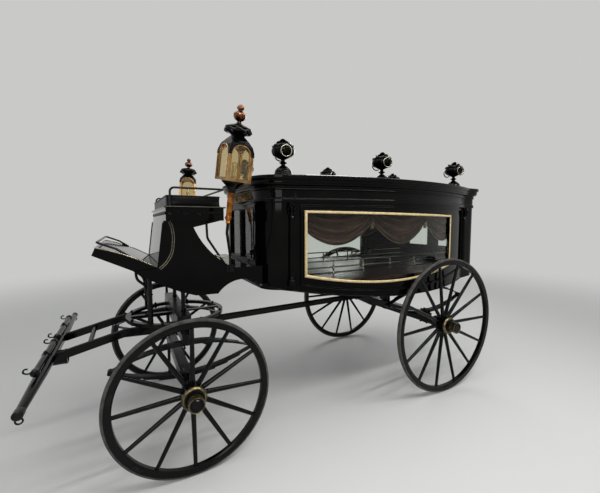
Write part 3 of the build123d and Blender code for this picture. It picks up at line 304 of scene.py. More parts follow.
def makeBoards():
    # Varnished mahogany boards 120 mm wide: grain along the carriage, a dark seam between boards
    made, tree, skin, place = startMaterial("varnishedBoards",
        {"Specular IOR Level": 0.25, "Roughness": 0.3})
    along = addNode(tree, "Mapping", {"Vector": place, "Scale": (1.5, 22.0, 22.0)})
    grain = addNode(tree, "TexNoise", {"Vector": along, "Scale": 6.0, "Detail": 8.0})
    share = addNode(tree, "MapRange", {"Value": grain, "From Min": 0.3, "From Max": 0.7})
    addNode(tree, "Mix", {0: share, 6: "#1a0c06", 7: "#36190d"}, 2, skin["Base Color"], data_type="RGBA")
    boardWave = 2 * pi / (20 * 0.12)  # a wave texture's sine turns twenty times its scale each metre
    seam = addNode(tree, "TexWave", {"Vector": place, "Scale": boardWave}, bands_direction="Y")
    groove = addNode(tree, "MapRange", {"Value": seam, "From Max": 0.06})
    addNode(tree, "Bump", {"Height": groove, "Distance": 0.001}, 0, skin["Normal"])
    return made


def makeHide():
    # Black upholstery hide: pebble grain drawn at 3 mm so that it shows, waxed on the high spots
    made, tree, skin, place = startMaterial("seatHide",
        {"Base Color": "#060505", "IOR": 1.45, "Specular IOR Level": 0.14})
    pebble = addNode(tree, "TexVoronoi", {"Vector": place, "Scale": 330.0})
    cloud = addNode(tree, "TexNoise", {"Vector": place, "Scale": 14.0, "Detail": 4.0})
    addNode(tree, "MapRange", {"Value": cloud, "From Min": 0.3, "From Max": 0.7, "To Min": 0.3,
        "To Max": 0.38}, 0, skin["Roughness"])
    addNode(tree, "Bump", {"Height": pebble, "Distance": 0.0003}, 0, skin["Normal"])
    return made


def makeTwist(name, light, dark):
    # Twisted silk cord and fringe: threads cross at 3 mm, dull gold, with painted shade in the dark grooves
    # between the strands, following the same wave as the bump
    made, tree, skin, place = startMaterial(name, {"Roughness": 0.6, "Sheen Weight": 0.3})
    strand = addNode(tree, "TexWave", {"Vector": place, "Scale": 2 * pi / (20 * 0.006)},
        bands_direction="DIAGONAL")
    # The strand wave darkens the colour in the grooves: painted shade between the strands
    addNode(tree, "Mix", {0: strand, 6: dark, 7: light}, 2, skin["Base Color"], data_type="RGBA")
    addNode(tree, "Bump", {"Height": strand, "Distance": 0.0008}, 0, skin["Normal"])
    return made


def makeLacquer(name, base, bloom, rough, peel, mirror):
    # Black coach enamel, rubbed and varnished: near-mirror gloss, faint orange peel, thin dust bloom
    return makeMottled(name, {"IOR": 1.45, "Specular IOR Level": mirror}, (base, bloom), (5.0, 5.0),
        (0.4, 0.75), rough, (peel, 120.0, 2.0))


def makeMetal(name, bright, dull, rough, scale=30.0):
    # Polished metal: thin tarnish gathered in clouds, fine handling scratches
    return makeMottled(name, {"Metallic": 1.0}, (bright, dull), (scale, 6.0), (0.35, 0.65), rough,
        (0.00003, 400.0, 2.0))


def makePaint(name, dark, light, rough):
    # Line paint laid by brush on a moulded bead: satin, streaked along the stroke, yellowed; the olive-grey
    # copy is a painted highlight, the light a glossy black bead catches
    return makeMottled(name, {"Roughness": rough}, (dark, light), (55.0, 4.0), bump=(0.0002,))


def makeGlass(name, tint, rough, bend):
    # Drawn plate glass: clear, with a trace of waviness over a hand's width
    return makeMottled(name, {"Base Color": tint, "IOR": bend, "Roughness": rough,
        "Transmission Weight": 1.0}, None, (4.0, 1.0), bump=(0.0004,))


coachLacquer = makeLacquer("coachLacquer", "#020202", "#060605", (0.04, 0.1), 0.00003, 0.12)
wheelLacquer = makeLacquer("wheelLacquer", "#030303", "#0a0a0a", (0.12, 0.24), 0.0001, 0.18)
ironEnamel = makeLacquer("ironEnamel", "#040404", "#0e0d0d", (0.18, 0.34), 0.0003, 0.24)
japannedTin = makeLacquer("japannedTin", "#020202", "#070707", (0.05, 0.12), 0.00005, 0.2)
creamEnamel = makePaint("creamEnamel", "#ab9363", "#d2bf92", 0.38)
# Olive-grey line colour for the seat lip and boot reeds: a painted highlight standing in for the light on
# glossy black beads
paintedHighlightLine = makePaint("paintedHighlightLine", "#34322a", "#57523f", 0.25)
plateGlass = makeGlass("plateGlass", "#eef2ee", 0.0, 1.2)
lampPaneGlass = makeGlass("lampPaneGlass", "#e6dab8", 0.02, 1.4)
lampBrass = makeMetal("lampBrass", "#c39f6e", "#7d5832", (0.16, 0.3), 9.0)
stemCopper = makeMetal("stemCopper", "#b4712f", "#6f4018", (0.2, 0.36))
finialCopper = makeMetal("finialCopper", "#8f6044", "#43241a", (0.14, 0.28), 45.0)
nickelPlate = makeMetal("nickelPlate", "#cfcabc", "#8f8b7e", (0.12, 0.26))
darkNickel = makeMetal("darkNickel", "#9a9482", "#4f4a3e", (0.1, 0.22))
naveBrass = makeMetal("naveBrass", "#857a59", "#453e2c", (0.24, 0.42))
varnishedBoards = makeBoards()
# Brown-black cotton velvet: dark pile that lifts to a soft sheen where a fold turns away
pile = {"Roughness": 0.8, "Sheen Weight": 0.2, "Sheen Roughness": 0.35, "Sheen Tint": "#8a5a3c"}
mourningVelvet = makeMottled("mourningVelvet", pile, ("#1f0f06", "#3d2312"), (9.0, 4.0))
# The second colour is the painted shade between the strands
goldTwist = makeTwist("goldTwist", "#7a6842", "#33291a")
seatHide = makeHide()
# Vulcanised solid rubber, old: chalky grey black with road grit
bandRubber = makeMottled("bandRubber", {"Roughness": 0.72}, ("#232220", "#4a4742"), (24.0, 7.0),
    bump=(0.0006,))
# Poured paraffin candle: milky, a little light goes in
paraffin = {"Roughness": 0.4, "Subsurface Weight": 0.3, "Subsurface Scale": 0.01}
candleWax = makeMottled("candleWax", paraffin, ("#e0d8bc", "#f0ead6"), (60.0, 3.0), (0.0, 1.0))

slotFinish = dict(gloss_black=coachLacquer, wood_black=wheelLacquer, wheel_black=wheelLacquer,
    iron_black=ironEnamel, spring_steel=ironEnamel, cream_bead=creamEnamel, pane=plateGlass,
    lamp_pane=lampPaneGlass, lamp_brass=lampBrass, lamp_black=japannedTin, copper_wood=stemCopper,
    bright_metal=nickelPlate, deck_wood=varnishedBoards, drape_cloth=mourningVelvet, seat_leather=seatHide,
    tyre_rubber=bandRubber)
for part in frame["record"]["subparts"]:
    shown = frame["nodes"][part["node"]]
    shown.data.materials.clear()
    shown.data.materials.append(slotFinish[part["material_slot"]])
print("materials", len(slotFinish))


# Plan of the body, as loops that all have the same number of points
plan = dict(frontWall=rearAxle + 1.71, rearWall=rearAxle - 0.74, frontColumn=rearAxle + 1.5,
    rearColumn=rearAxle - 0.52, columnY=0.56, frontHalf=0.35, bow=0.195, rearCorner=0.095)
sideMid, sideHalf = midHalf(plan["rearColumn"], plan["frontColumn"])
sideRadius = (sideHalf**2 + plan["bow"]**2) / (2 * plan["bow"])
sideCentre = plan["columnY"] + plan["bow"] - sideRadius
frontCorner = plan["columnY"] - plan["frontHalf"]


def sideY(x, grow):
    # The side bulges on one wide circle: y = centre + root of radius squared less distance squared
    return sideCentre + np.sqrt((sideRadius + grow)**2 - (x - sideMid)**2)


def arcPoints(cx, cy, radius, start, end, count):
    a = np.linspace(start, end, count, endpoint=False)
    return np.stack([cx + radius * np.cos(a), cy + radius * np.sin(a)], -1)


def planLoop(grow):
    # Front half wall, quarter corner, bowed side, short flat, rear corner, rear wall; then mirrored
    front, rear = plan["frontWall"] + grow, plan["rearWall"] - grow
    corner, side = frontCorner + grow, sideRadius + grow
    gapX, gapY = plan["frontColumn"] - sideMid, plan["frontHalf"] - sideCentre
    gap = np.hypot(gapX, gapY)
    along = (side**2 - corner**2 + gap**2) / (2 * gap)
    off = np.sqrt(side**2 - along**2)
    ux, uy = gapX / gap, gapY / gap
    turnX, turnY = sideMid + along * ux - off * uy, sideCentre + along * uy + off * ux
    turnAngle = np.arctan2(turnY - plan["frontHalf"], turnX - plan["frontColumn"])
    panelY = plan["columnY"] + grow
    panelX = sideMid - np.sqrt(side**2 - (panelY - sideCentre)**2)
    roundX, roundY = plan["rearWall"] + plan["rearCorner"], plan["columnY"] - plan["rearCorner"]
    half = np.vstack([np.linspace((front, 0), (front, plan["frontHalf"]), 5, endpoint=False),
        arcPoints(plan["frontColumn"], plan["frontHalf"], corner, 0, turnAngle, 18),
        arcPoints(sideMid, sideCentre, side, np.arctan2(turnY - sideCentre, turnX - sideMid),
        np.arctan2(panelY - sideCentre, panelX - sideMid), 64),
        np.linspace((panelX, panelY), (roundX, panelY), 4, endpoint=False),
        arcPoints(roundX, roundY, plan["rearCorner"] + grow, pi / 2, pi, 12),
        np.linspace((rear, roundY), (rear, 0), 7)])
    return np.vstack([half, (half * [1, -1])[-2:0:-1]])


def planGrid(profile):
    # A profile of (grow, height) pairs carried round the plan
    return np.stack([pointsOf(*planLoop(g).T, z) for g, z in profile])


def curvePiece(start, end, bulge, count=7):
    # Quarter wave between two profile points, swelling out (bulge 1) or hollow (bulge -1)
    t = np.linspace(0, pi / 2, count)
    a, b = (np.sin(t), 1 - np.cos(t)) if bulge > 0 else (1 - np.cos(t), np.sin(t))
    return np.column_stack([start[0] + (end[0] - start[0]) * a, start[1] + (end[1] - start[1]) * b])


def moulding(start, *moves):
    # Moves to (margin, height) in millimetres, straight for 0 and in a quarter wave for 1 or -1
    path = [mm(start[:2])]
    for margin, height, bulge in moves:
        end = mm((margin, height))
        path.append(curvePiece(path[-1][-1], end[0], bulge)[1:] if bulge else end)
    return np.vstack(path)


# Roof: moulded cornice, low crown and ceiling in one closed shell; heights above the cornice's foot
roof = dict(low=1.728, high=1.928, rise=0.022, ceiling=1.904, inner=-0.034)
cornice = moulding((-34, 0, 0), (8, 0, 0), (12, 6, 1), (12, 24, 0), (4, 34, -1), (3, 36, 0), (3, 94, 0),
    (15, 100, 1), (10, 108, -1), (10, 110, 0), (26, 128, -1), (38, 144, 1), (42, 146, 0), (42, 166, 0),
    (43, 168, 0), (56, 182, 1), (56, 194, 0), (50, 200, -1)) + [0, roof["low"]]
rimLoop = planLoop(0.04)
middle = np.array([midHalf(plan["rearWall"], plan["frontWall"])[0], 0])
shrink = np.array([0.999, 0.97, 0.9, 0.8, 0.65, 0.5, 0.35, 0.2, 0.08, 0.0])
crownXY = middle + (rimLoop - middle) * shrink[:, None, None]
lift = roof["rise"] * (1 - (crownXY[..., 1] / 0.8)**2) * (1 - ((crownXY[..., 0] - middle[0]) / 1.27)**2)
crown = pointsOf(crownXY[..., 0], crownXY[..., 1], roof["high"] + np.clip(lift, 0, None))
insideXY = middle + (planLoop(roof["inner"]) - middle) * np.array([0, 0.3, 0.6, 1.0])[:, None, None]
inside = pointsOf(insideXY[..., 0], insideXY[..., 1], roof["ceiling"])
shell = np.concatenate([planGrid(cornice), crown, inside, planGrid([(roof["inner"], roof["low"])])])
makePiece("roofShell", [shell], coachLacquer, sharp=30, replaced="roof")
print("roof shell")

# Urns: pad, bell foot, knop, gadrooned bowl, lid with a leaf rim and two ring handles
urn = dict(places=(1.51, 0.51, -0.5), halfGap=0.45, foot=1.956, ringRadius=0.041, ringTop=0.196,
    wire=0.0055, turn=10, lobes=12, rims=((0.079, 0.18, 0.03, 9, 0.007), (0.048, 0.212, 0.024, 6, 0.01),
    (0.014, 0.232, 0.026, 3, 0.012)))
urnTable = smoothCurve(mm((74, -28), (74, -6), (68, 0), (66, 12), (58, 30), (42, 46), (22, 60), (15, 67),
    (19, 73), (31, 81), (20, 89), (14, 97), (18, 106), (44, 118), (73, 136), (87, 160), (88, 180),
    (81, 190), (84, 198), (70, 214), (40, 231), (18, 240), (11, 246), (15, 252), (6, 258)), 110)
urnTable = np.vstack([(0.0, -0.028), urnTable, (0.0, 0.2585)])


def gadroon(angle, height):
    # Swelling lobes round the lower bowl: radius times one plus a share of the lobe wave
    share = np.exp(-((height - 0.142) / 0.02)**2)
    return 1 + 0.09 * share * (np.abs(np.sin(angle * urn["lobes"] / 2)) - 0.5)


def leafRim(centre, radius, height, tall, count, lean=0.01):
    # Upright curled leaves: height follows a rounded wave, the tip leans outwards
    angle = turns(count * 12)
    wave = np.abs(np.sin(angle * count / 2))**0.6
    up = np.linspace(0, 1, 7)[:, None]
    r = radius + lean * up**2 + 0.003 * np.sin(up * pi) * wave
    z = height + tall * up * (0.35 + 0.65 * wave)
    out = pointsOf(centre[0] + r * np.cos(angle), centre[1] + r * np.sin(angle), centre[2] + z)
    inner = out[::-1].copy()
    inner[..., :2] = centre[:2] + (inner[..., :2] - centre[:2]) * 0.955
    return np.concatenate([out, inner, out[:1]])


urnGrids, urnRings = [], []
for ahead in urn["places"]:
    for side in (-1, 1):
        spot = np.array([rearAxle + ahead, side * urn["halfGap"], urn["foot"]])
        urnGrids.append(turned(urnTable, spot, steps=72, ripple=gadroon))
        urnGrids += [leafRim(spot, *rim) for rim in urn["rims"]]
        for face in (-1, 1):
            out = face * np.array([np.sin(radians(urn["turn"])), side * np.cos(radians(urn["turn"])), 0.0])
            lug = spot + out * 0.094 + [0, 0, urn["ringTop"]]
            urnRings.append(ringGrid(lug - [0, 0, urn["ringRadius"]], out, urn["ringRadius"], urn["wire"]))
            urnRings.append(ringGrid(lug, np.cross(out, upright), 0.009, 0.0045, 20, 8))
makePiece("urnSet", urnGrids, coachLacquer, replaced="roof_urns")
makePiece("urnHandles", urnRings, darkNickel)
print("urns", len(urnGrids))

# Side windows and the moulded panels round them, measured ahead of the rear axle
window = dict(rear=rearAxle - 0.167, front=rearAxle + 1.387, low=1.178, high=1.656, fall=0.024, sag=0.08)
panel = dict(rear=rearAxle - 0.458, front=rearAxle + 1.438, low=1.1, high=1.716, fall=0.0, sag=0.088)


def sideLoop(shape, margin):
    # Rear upright, head that falls to the rear, front upright, then the sill sagging on its own arc
    rear, front = shape["rear"] - margin, shape["front"] + margin
    low, high = shape["low"] - margin, shape["high"] + margin
    half = (front - rear) / 2
    radius = (half**2 + shape["sag"]**2) / (2 * shape["sag"])
    x = np.linspace(half, -half, 60, endpoint=False)
    sill = low - shape["sag"] + radius - np.sqrt(radius**2 - x**2)
    return np.vstack([np.linspace((rear, low), (rear, high - shape["fall"]), 12, endpoint=False),
        np.linspace((rear, high - shape["fall"]), (front, high), 60, endpoint=False),
        np.linspace((front, high), (front, low), 12, endpoint=False),
        np.column_stack([(rear + front) / 2 + x, sill])])


def sideBand(shape, section, side):
    # Section pairs (margin, depth) carried round the shape, lying on the bowed side
    rows = []
    for margin, depth in section:
        loop = sideLoop(shape, margin)
        rows.append(pointsOf(loop[:, 0], side * sideY(loop[:, 0], depth), loop[:, 1]))
    return np.stack(rows + rows[:1])


makePiece("windowBead", [sideBand(window, halfRound(0.02, 0.0075, 0.0003, -0.004), side)
    for side in (-1, 1)], creamEnamel, sharp=50, replaced="window_beads")
panelReeds = [halfRound(0.007, 0.004, 0.0099, -0.0072), halfRound(0.0045, 0.0028, 0.0099, -0.0178)]
makePiece("panelReeds", [sideBand(panel, reed, side) for side in (-1, 1) for reed in panelReeds],
    coachLacquer, sharp=50)
rebate = halfRound(0.01, 0.004, 0.0002, 0.016)
makePiece("windowRebate", [sideBand(window, rebate, side) for side in (-1, 1)], coachLacquer, sharp=50)

# Bead along the sagging lower edge of the walls: a circle through its three known points
skirt = dict(front=(plan["frontWall"] + 0.068, 1.11), middle=(sideMid, 0.955),
    rear=(plan["rearWall"] - 0.068, 1.02), bead=0.006)
chords = np.array([skirt["front"], skirt["rear"]]) - np.array(skirt["middle"])
skirtCentre = np.linalg.solve(2 * chords, (chords**2).sum(1)) + skirt["middle"]
skirtRadius = np.linalg.norm(skirtCentre - skirt["middle"])
skirtRows = []
for turn in np.linspace(0, 2 * pi, 11):
    loop = planLoop(-0.002 + skirt["bead"] * np.cos(turn))
    drop = np.sqrt(skirtRadius**2 - (loop[:, 0] - skirtCentre[0])**2)
    skirtRows.append(pointsOf(*loop.T, skirtCentre[1] - drop + skirt["bead"] * (1 + np.sin(turn))))
makePiece("skirtBead", [np.stack(skirtRows)], coachLacquer, sharp=50)

# Fluted columns with turned bases and two rings of leaves under the cap
column = dict(foot=1.1, stand=0.014, flutes=14, rims=((0.0185, 0.532, 0.036, 8, 0.012),
    (0.0195, 0.556, 0.044, 8, 0.016)))
columnTable = mm((0, 0), (31, 0), (31, 40), (29, 46), (24, 50), (26, 56), (26, 62), (21, 70), (20, 78),
    (20.5, 200), (19, 360), (16.5, 508), (19, 512), (22, 518), (19, 524), (17, 530), (18, 545), (21, 575),
    (27, 596), (31, 602), (33, 606), (33, 627.8), (0, 627.8))


def fluting(angle, height):
    # Hollow flutes on the shaft: radius less a share of the flute wave, none at base and cap
    share = np.clip((height - 0.078) / 0.01, 0, 1) * np.clip((0.505 - height) / 0.01, 0, 1)
    return 1 - 0.1 * share * np.abs(np.cos(angle * column["flutes"] / 2))**1.5


shaft = np.column_stack([np.interp(np.linspace(0.085, 0.5, 18), columnTable[:, 1], columnTable[:, 0]),
    np.linspace(0.085, 0.5, 18)])
columnRings = np.vstack([columnTable[:9], shaft, columnTable[11:]])
columnGrids = []
for columnX in (plan["frontColumn"], plan["rearColumn"]):
    for side in (-1, 1):
        foot = np.array([columnX, side * (plan["columnY"] + column["stand"]), column["foot"]])
        columnGrids.append(turned(columnRings, foot, steps=84, ripple=fluting))
        columnGrids += [leafRim(foot, *rim) for rim in column["rims"]]
        for turn in np.arange(4) * pi / 2 + pi / 4:
            scroll = foot + [0.027 * np.cos(turn), 0.027 * np.sin(turn), 0.596]
            columnGrids.append(ringGrid(scroll, (np.sin(turn), -np.cos(turn), 0), 0.006, 0.0032, 18, 8))
makePiece("columnSet", columnGrids, coachLacquer, sharp=35, replaced="columns")
print("body mouldings and columns")

# Mouldings round the front wall's two panes, and on the rear doors
paneWall = dict(halfWide=0.146, middleY=0.166, low=1.29, high=1.69)
paneMid, paneHalf = midHalf(paneWall["low"], paneWall["high"])
makePiece("frontPaneBeads", [flatBead((plan["frontWall"], side * paneWall["middleY"], paneMid),
    (paneWall["halfWide"], paneHalf), 1, 0.01, 0.005, -0.0005, 0.001) for side in (-1, 1)],
    coachLacquer, sharp=50)
door = dict(face=rearAxle - 0.775, middleY=0.22375, glass=(0.15125, 1.296, 1.652),
    lower=(0.168, 1.15, 1.258))
for sideName, side in bothSides.items():
    areas = []
    for halfWide, low, high in (door["glass"], door["lower"]):
        areaMid, areaHalf = midHalf(low, high)
        areas.append([(door["face"], side * door["middleY"], areaMid), (halfWide, areaHalf), -1])
    glass, lower = areas
    makePiece(f"doorGlassBead_{sideName}", [flatBead(*glass, 0.012, 0.006, 0.0, 0.001)], creamEnamel,
        f"door_{sideName}", 50)
    makePiece(f"doorMoulding_{sideName}", [flatBead(*lower, 0.012, 0.006),
        flatBead(*lower, 0.006, 0.003, 0.0, 0.018), flatBead(*glass, 0.006, 0.003, 0.0, 0.02)],
        coachLacquer, f"door_{sideName}", 50)
    knobSpot = (door["face"], side * 0.0375, 1.201)
    knobRings = smoothCurve(mm((0, 0), (21, 0), (21, 3), (10, 6), (8.5, 14), (16, 20), (18, 28), (16, 36),
        (9, 41.5), (0, 42.5)), 50)
    makePiece(f"doorKnob_{sideName}", [turned(knobRings, knobSpot, (-1, 0, 0), 40)], lampBrass,
        f"door_{sideName}")
print("doors")

# Drapes: on each side three swags that hang in catenary folds between gathered cusps
drape = dict(rear=rearAxle - 0.452, front=rearAxle + 1.432, top=1.903, cusp=1.586, low=1.401, swags=3,
    inset=-0.066, fold=0.018, folds=5.5, columns=64, rows=72)
swagWidth = (drape["front"] - drape["rear"]) / drape["swags"]
u = np.linspace(0, drape["swags"], drape["swags"] * drape["columns"] + 1)
local = u % 1.0
sag = (drape["cusp"] - drape["low"]) * (1 - (2 * local - 1)**2)
hemZ = drape["cusp"] - sag
v = np.linspace(0, 1, drape["rows"])[:, None]
clothX = np.broadcast_to(drape["rear"] + u * swagWidth, (drape["rows"], len(u)))
clothZ = drape["top"] + (hemZ - drape["top"]) * v
hang = np.sin(pi * local)**0.5
ripple = np.sin(2 * pi * drape["folds"] * v**1.1) * (0.25 + 0.75 * hang) * np.clip(v * 4, 0, 1)
gather = np.cos(2 * pi * 7 * local) * (1 - hang)**2 * 0.9
clothDepth = drape["inset"] + drape["fold"] * np.clip(ripple + gather * v, -1, 1)
for sideName, side in bothSides.items():
    cloth = pointsOf(clothX, side * sideY(clothX, clothDepth), clothZ)
    swag = makePiece(f"swagDrape_{sideName}", [(cloth, False, False)], mourningVelvet, sharp=180,
        replaced="drapes")
    thick = swag.modifiers.new("cloth thickness", "SOLIDIFY")
    thick.thickness, thick.offset = 0.0016, 0.0
    hemPath = pointsOf(clothX[-1], side * sideY(clothX[-1], clothDepth[-1] - 0.001), clothZ[-1])
    hem = [tube(hemPath[k * drape["columns"]:(k + 1) * drape["columns"] + 1], 0.0035, 8)
        for k in range(drape["swags"])]
    tassels = []
    for k in range(1, drape["swags"]):
        knot = np.array([drape["rear"] + k * swagWidth, 0.0, drape["cusp"] + 0.004])
        knot[1] = side * sideY(knot[0], drape["inset"] - 0.004)
        tasselRings = smoothCurve(mm((0, 4), (9, 2), (12, -6), (8, -14), (6, -18), (10, -24), (11.5, -42),
            (12.5, -62), (0, -64)), 40)
        tassels.append(turned(tasselRings, knot, (0, 0, 1), 40,
            lambda a, z: 1 + 0.1 * np.clip((-0.024 - z) / 0.01, 0, 1) * np.cos(10 * a)))
    hemPiece = makePiece(f"swagHem_{sideName}", hem + tassels, goldTwist)
print("drapes")

# Bier rails: two nickel tubes on beaded balusters each side, with ball ends
rail = dict(rear=rearAxle - 0.56, front=rearAxle + 1.48, y=0.35, deck=1.126, tall=0.112, balusters=6)
balusterTable = mm((0, 0), (13, 0), (13, 6), (7, 12), (9.5, 20), (6, 26), (8.8, 34), (11, 44), (8.8, 54),
    (6, 62), (9, 70), (6, 76), (8.2, 86), (6, 94), (7, 104), (0, 106))
railGrids = []
for side in (-1, 1):
    for share in (np.arange(rail["balusters"]) + 0.5) / rail["balusters"]:
        spot = (rail["rear"] + share * (rail["front"] - rail["rear"]), side * rail["y"], rail["deck"])
        railGrids.append(turned(smoothCurve(balusterTable, 70), spot, steps=28))
    for height in (0.5 * rail["tall"], rail["tall"]):
        ends = [(x, side * rail["y"], rail["deck"] + height) for x in (rail["rear"], rail["front"])]
        railGrids.append(tube(np.linspace(*ends, 12), 0.0068, 14))
        for end in ends:
            railGrids.append(lozenge(end, *np.eye(3), [0.0095] * 3, 9, 14))
makePiece("bierRailSet", railGrids, nickelPlate, replaced="bier_rails")
print("bier rails")

# Lamps, in their own frame: leaned out, leaned back and turned, then mirrored for the right one
lamp = dict(base=(rearAxle + 2.019, 0.817, 1.828), leanOut=9, leanBack=5, turn=10, half=0.076, height=0.15,
    hood=0.112, cap=0.175, crown=0.076, cornerWire=0.003, collars=((-0.221, 0.0208), (-0.064, 0.0205)),
    arches=dict(lampArchLines=(0.0595, 0.0165, 0.0545, 0.0019), lampCrowns=(0.072, 0.1505, 0.068, 0.0022)))


def atLamp(entry, side):
    # Turned about Z, then Y, then X by the lamp's three angles, moved to its base, mirrored by side
    grid, wrap, caps = unpacked(entry)
    a, b, c = radians(-lamp["leanOut"]), radians(-lamp["leanBack"]), radians(lamp["turn"])
    aboutX = np.array([[1, 0, 0], [0, np.cos(a), -np.sin(a)], [0, np.sin(a), np.cos(a)]])
    aboutY = np.array([[np.cos(b), 0, np.sin(b)], [0, 1, 0], [-np.sin(b), 0, np.cos(b)]])
    aboutZ = np.array([[np.cos(c), -np.sin(c), 0], [np.sin(c), np.cos(c), 0], [0, 0, 1]])
    return (grid @ (aboutX @ aboutY @ aboutZ).T + lamp["base"]) * [1, side, 1], wrap, caps


crownTable = smoothCurve(mm((27, -22), (29, -12), (36, -2), (50, 7), (66, 14), (78, 22), (81.5, 29),
    (77.5, 36), (68, 41), (52, 48), (36, 55), (22, 61), (13, 68), (12, 74)), 60)
flameTable = smoothCurve([(0.16, 0.4), (0.16, 0.46), (0.3, 0.5), (0.44, 0.56), (0.47, 0.63), (0.42, 0.71),
    (0.24, 0.77), (0.15, 0.805), (0.24, 0.85), (0.26, 0.9), (0.18, 0.96), (0.06, 1.0)], 60)


def pieCrust(rings, spot, lobes=8):
    # A turned cup whose rim runs in waves: height falls and radius grows by the lobe wave
    grid = turned(rings, steps=96)
    angle = turns(96)[None, :]
    radius = np.hypot(grid[..., 0], grid[..., 1])
    wave = np.clip((radius - 0.045) / 0.035, 0, 1)**1.5 * np.cos(lobes * angle)
    return grid * (1 + 0.05 * wave[..., None] * [1, 1, 0]) + [0, 0, 1] * (-0.0065 * wave)[..., None] + spot


def archLine(half, low, spring, rise, count=14):
    # Pointed arch as a line: up one side, two arcs that meet in a point, down the other, back
    radius = (half**2 + rise**2) / (2 * half)
    turn = np.linspace(0, np.arctan2(rise, radius - half), count)
    right = np.column_stack([half - radius + radius * np.cos(turn), spring + radius * np.sin(turn)])
    return np.vstack([[(half, low)], right, right[-2::-1] * [-1, 1], [(-half, low)]])


lampFinish = dict(lampCrowns=japannedTin, lampFlames=finialCopper, lampArchLines=lampBrass,
    lampCandles=candleWax, lampDishes=japannedTin, lampGrips=stemCopper, lampCollars=finialCopper)
lampGrids = {name: [] for name in lampFinish}
lampTop = (0, 0, lamp["height"] + lamp["hood"])
crownRings = np.vstack([(0, crownTable[0, 1]), crownTable, (0, crownTable[-1, 1])])
flameRings = np.vstack([(0, flameTable[0, 1]), flameTable, (0, 1.003)]) * [lamp["crown"], lamp["cap"]]
dishRings = smoothCurve(mm((0, -68), (21, -68), (23, -58), (25, -48), (34, -34), (52, -18), (63.5, -8),
    (64.5, -3), (63, -0.5), (0, -0.3)), 60)
gripRings = smoothCurve(mm((0, -258), (8, -257.5), (12.5, -253), (14.5, -247), (12, -241), (15, -236),
    (20, -226), (20.5, -216), (17, -206), (17.5, -180), (19, -130), (18, -90), (17.5, -62), (0, -60)), 90)
candleRings = smoothCurve(mm((0, 18), (14.8, 18), (14.8, 60), (14.8, 104), (12.5, 108), (5, 106),
    (1.5, 108), (1.2, 118), (0, 118)), 50)


def onLamp(name, grid, side):
    lampGrids[name].append(atLamp(grid, side))


for side in (-1, 1):
    onLamp("lampCrowns", pieCrust(crownRings, lampTop), side)
    onLamp("lampFlames", turned(flameRings, lampTop, steps=64,
        ripple=lambda a, z: 1 + 0.07 * np.cos(6 * a + 60 * z)), side)
    for facing in range(4):
        spin = facing * pi / 2
        out = np.array([np.cos(spin), np.sin(spin), 0.0])
        across = np.array([-np.sin(spin), np.cos(spin), 0.0])
        for name, (half, low, rise, wire) in lamp["arches"].items():
            line = archLine(half, low, lamp["height"], rise)
            path = line[:, :1] * across + line[:, 1:] * upright + (lamp["half"] + 0.0006) * out
            path = np.vstack([path, path[:1]]) if name == "lampArchLines" else path
            onLamp(name, tube(path, wire, 8), side)
        corner = (lamp["half"] + 0.0005) * (out + across)
        edge = np.linspace(corner, corner + [0, 0, lamp["height"]], 6)
        onLamp("lampArchLines", tube(edge, lamp["cornerWire"], 10), side)
    onLamp("lampCandles", turned(candleRings, steps=32), side)
    onLamp("lampDishes", turned(dishRings, steps=64), side)
    onLamp("lampGrips", turned(gripRings, steps=48), side)
    for height, radius in lamp["collars"]:
        onLamp("lampCollars", ringGrid((0, 0, height), upright, radius, 0.0024, 40, 8), side)
for name, finish in lampFinish.items():
    makePiece(name, lampGrids[name], finish, replaced="lamp_stems" if name == "lampDishes" else None)
print("lamps")

# Driver's cushion: a boxed hide pad, buttoned through, swelled by pressure between its welts
seat = dict(rear=rearAxle + 2.005, front=rearAxle + 2.37, halfWide=0.55, high=1.687,
    lip=0.01, lipDrop=0.005)
pad = dict(rear=rearAxle + 2.015, front=rearAxle + 2.36, halfWide=0.511, low=1.6876, high=1.759,
    corner=0.03, dimple=0.014, spread=0.022, crease=0.004, voxel=0.007, pressure=4.0, cap=0.008, lines=2,
    across=8, step=0.01)
padMid, padHalf = np.column_stack([midHalf(pad["rear"], pad["front"]), (0.0, pad["halfWide"])])
buttonSpots = np.array([(pad["rear"] + (row + 0.8) / (pad["lines"] + 0.6) * 2 * padHalf[0],
    (k - (pad["across"] - 1) / 2 + (0.25 if row else -0.25)) * 2 * pad["halfWide"] / pad["across"])
    for row in range(pad["lines"]) for k in range(pad["across"])])
outline = roundedLoop(padHalf[0], padHalf[1], pad["corner"], 8)
outline = np.vstack([np.linspace(a, b, max(1, round(np.linalg.norm(b - a) / pad["step"])), endpoint=False)
    for a, b in zip(outline, np.roll(outline, -1, 0))])
padTall = pad["high"] - pad["low"]
# The side goes up in a few rows, the crown in many, so that the mesh is as fine as a button's dimple
crownIn = np.linspace(0.04, 1.0, 56)
crownUp = 0.985 + 0.085 * (1 - (1 - crownIn)**4)
padProfile = [(1.0, 0.0), (0.5, 0.0), (0.15, 0.0), (0.03, 0.0), (0.0, 0.06), (0.004, 0.3), (0.008, 0.5),
    (0.004, 0.7), (0.0, 0.94), (0.02, 0.975), *zip(crownIn, crownUp)]
# Creases run from each button to its two neighbours in the other line
pairs = [(a, b) for a in buttonSpots for b in buttonSpots if a[0] < b[0] and abs(a[1] - b[1]) < 0.09]
padRows = []
for inward, height in padProfile:
    spots = padMid + outline * (1 - inward)
    near = np.linalg.norm(spots[:, None] - buttonSpots[None], axis=2)
    dip = pad["dimple"] * np.exp(-(near / pad["spread"])**2).max(1)
    for a, b in pairs:
        share = np.clip((spots - a) @ (b - a) / np.dot(b - a, b - a), 0, 1)[:, None]
        apart = np.linalg.norm(spots - a - share * (b - a), axis=1)
        dip = np.maximum(dip, pad["crease"] * np.exp(-(apart / 0.01)**2))
    padRows.append(pointsOf(*spots.T, pad["low"] + padTall * height - dip * (height > 0.98)))
seatPad = makePiece("seatPad", [np.stack(padRows)], seatHide, sharp=180, replaced="seat_cushion")


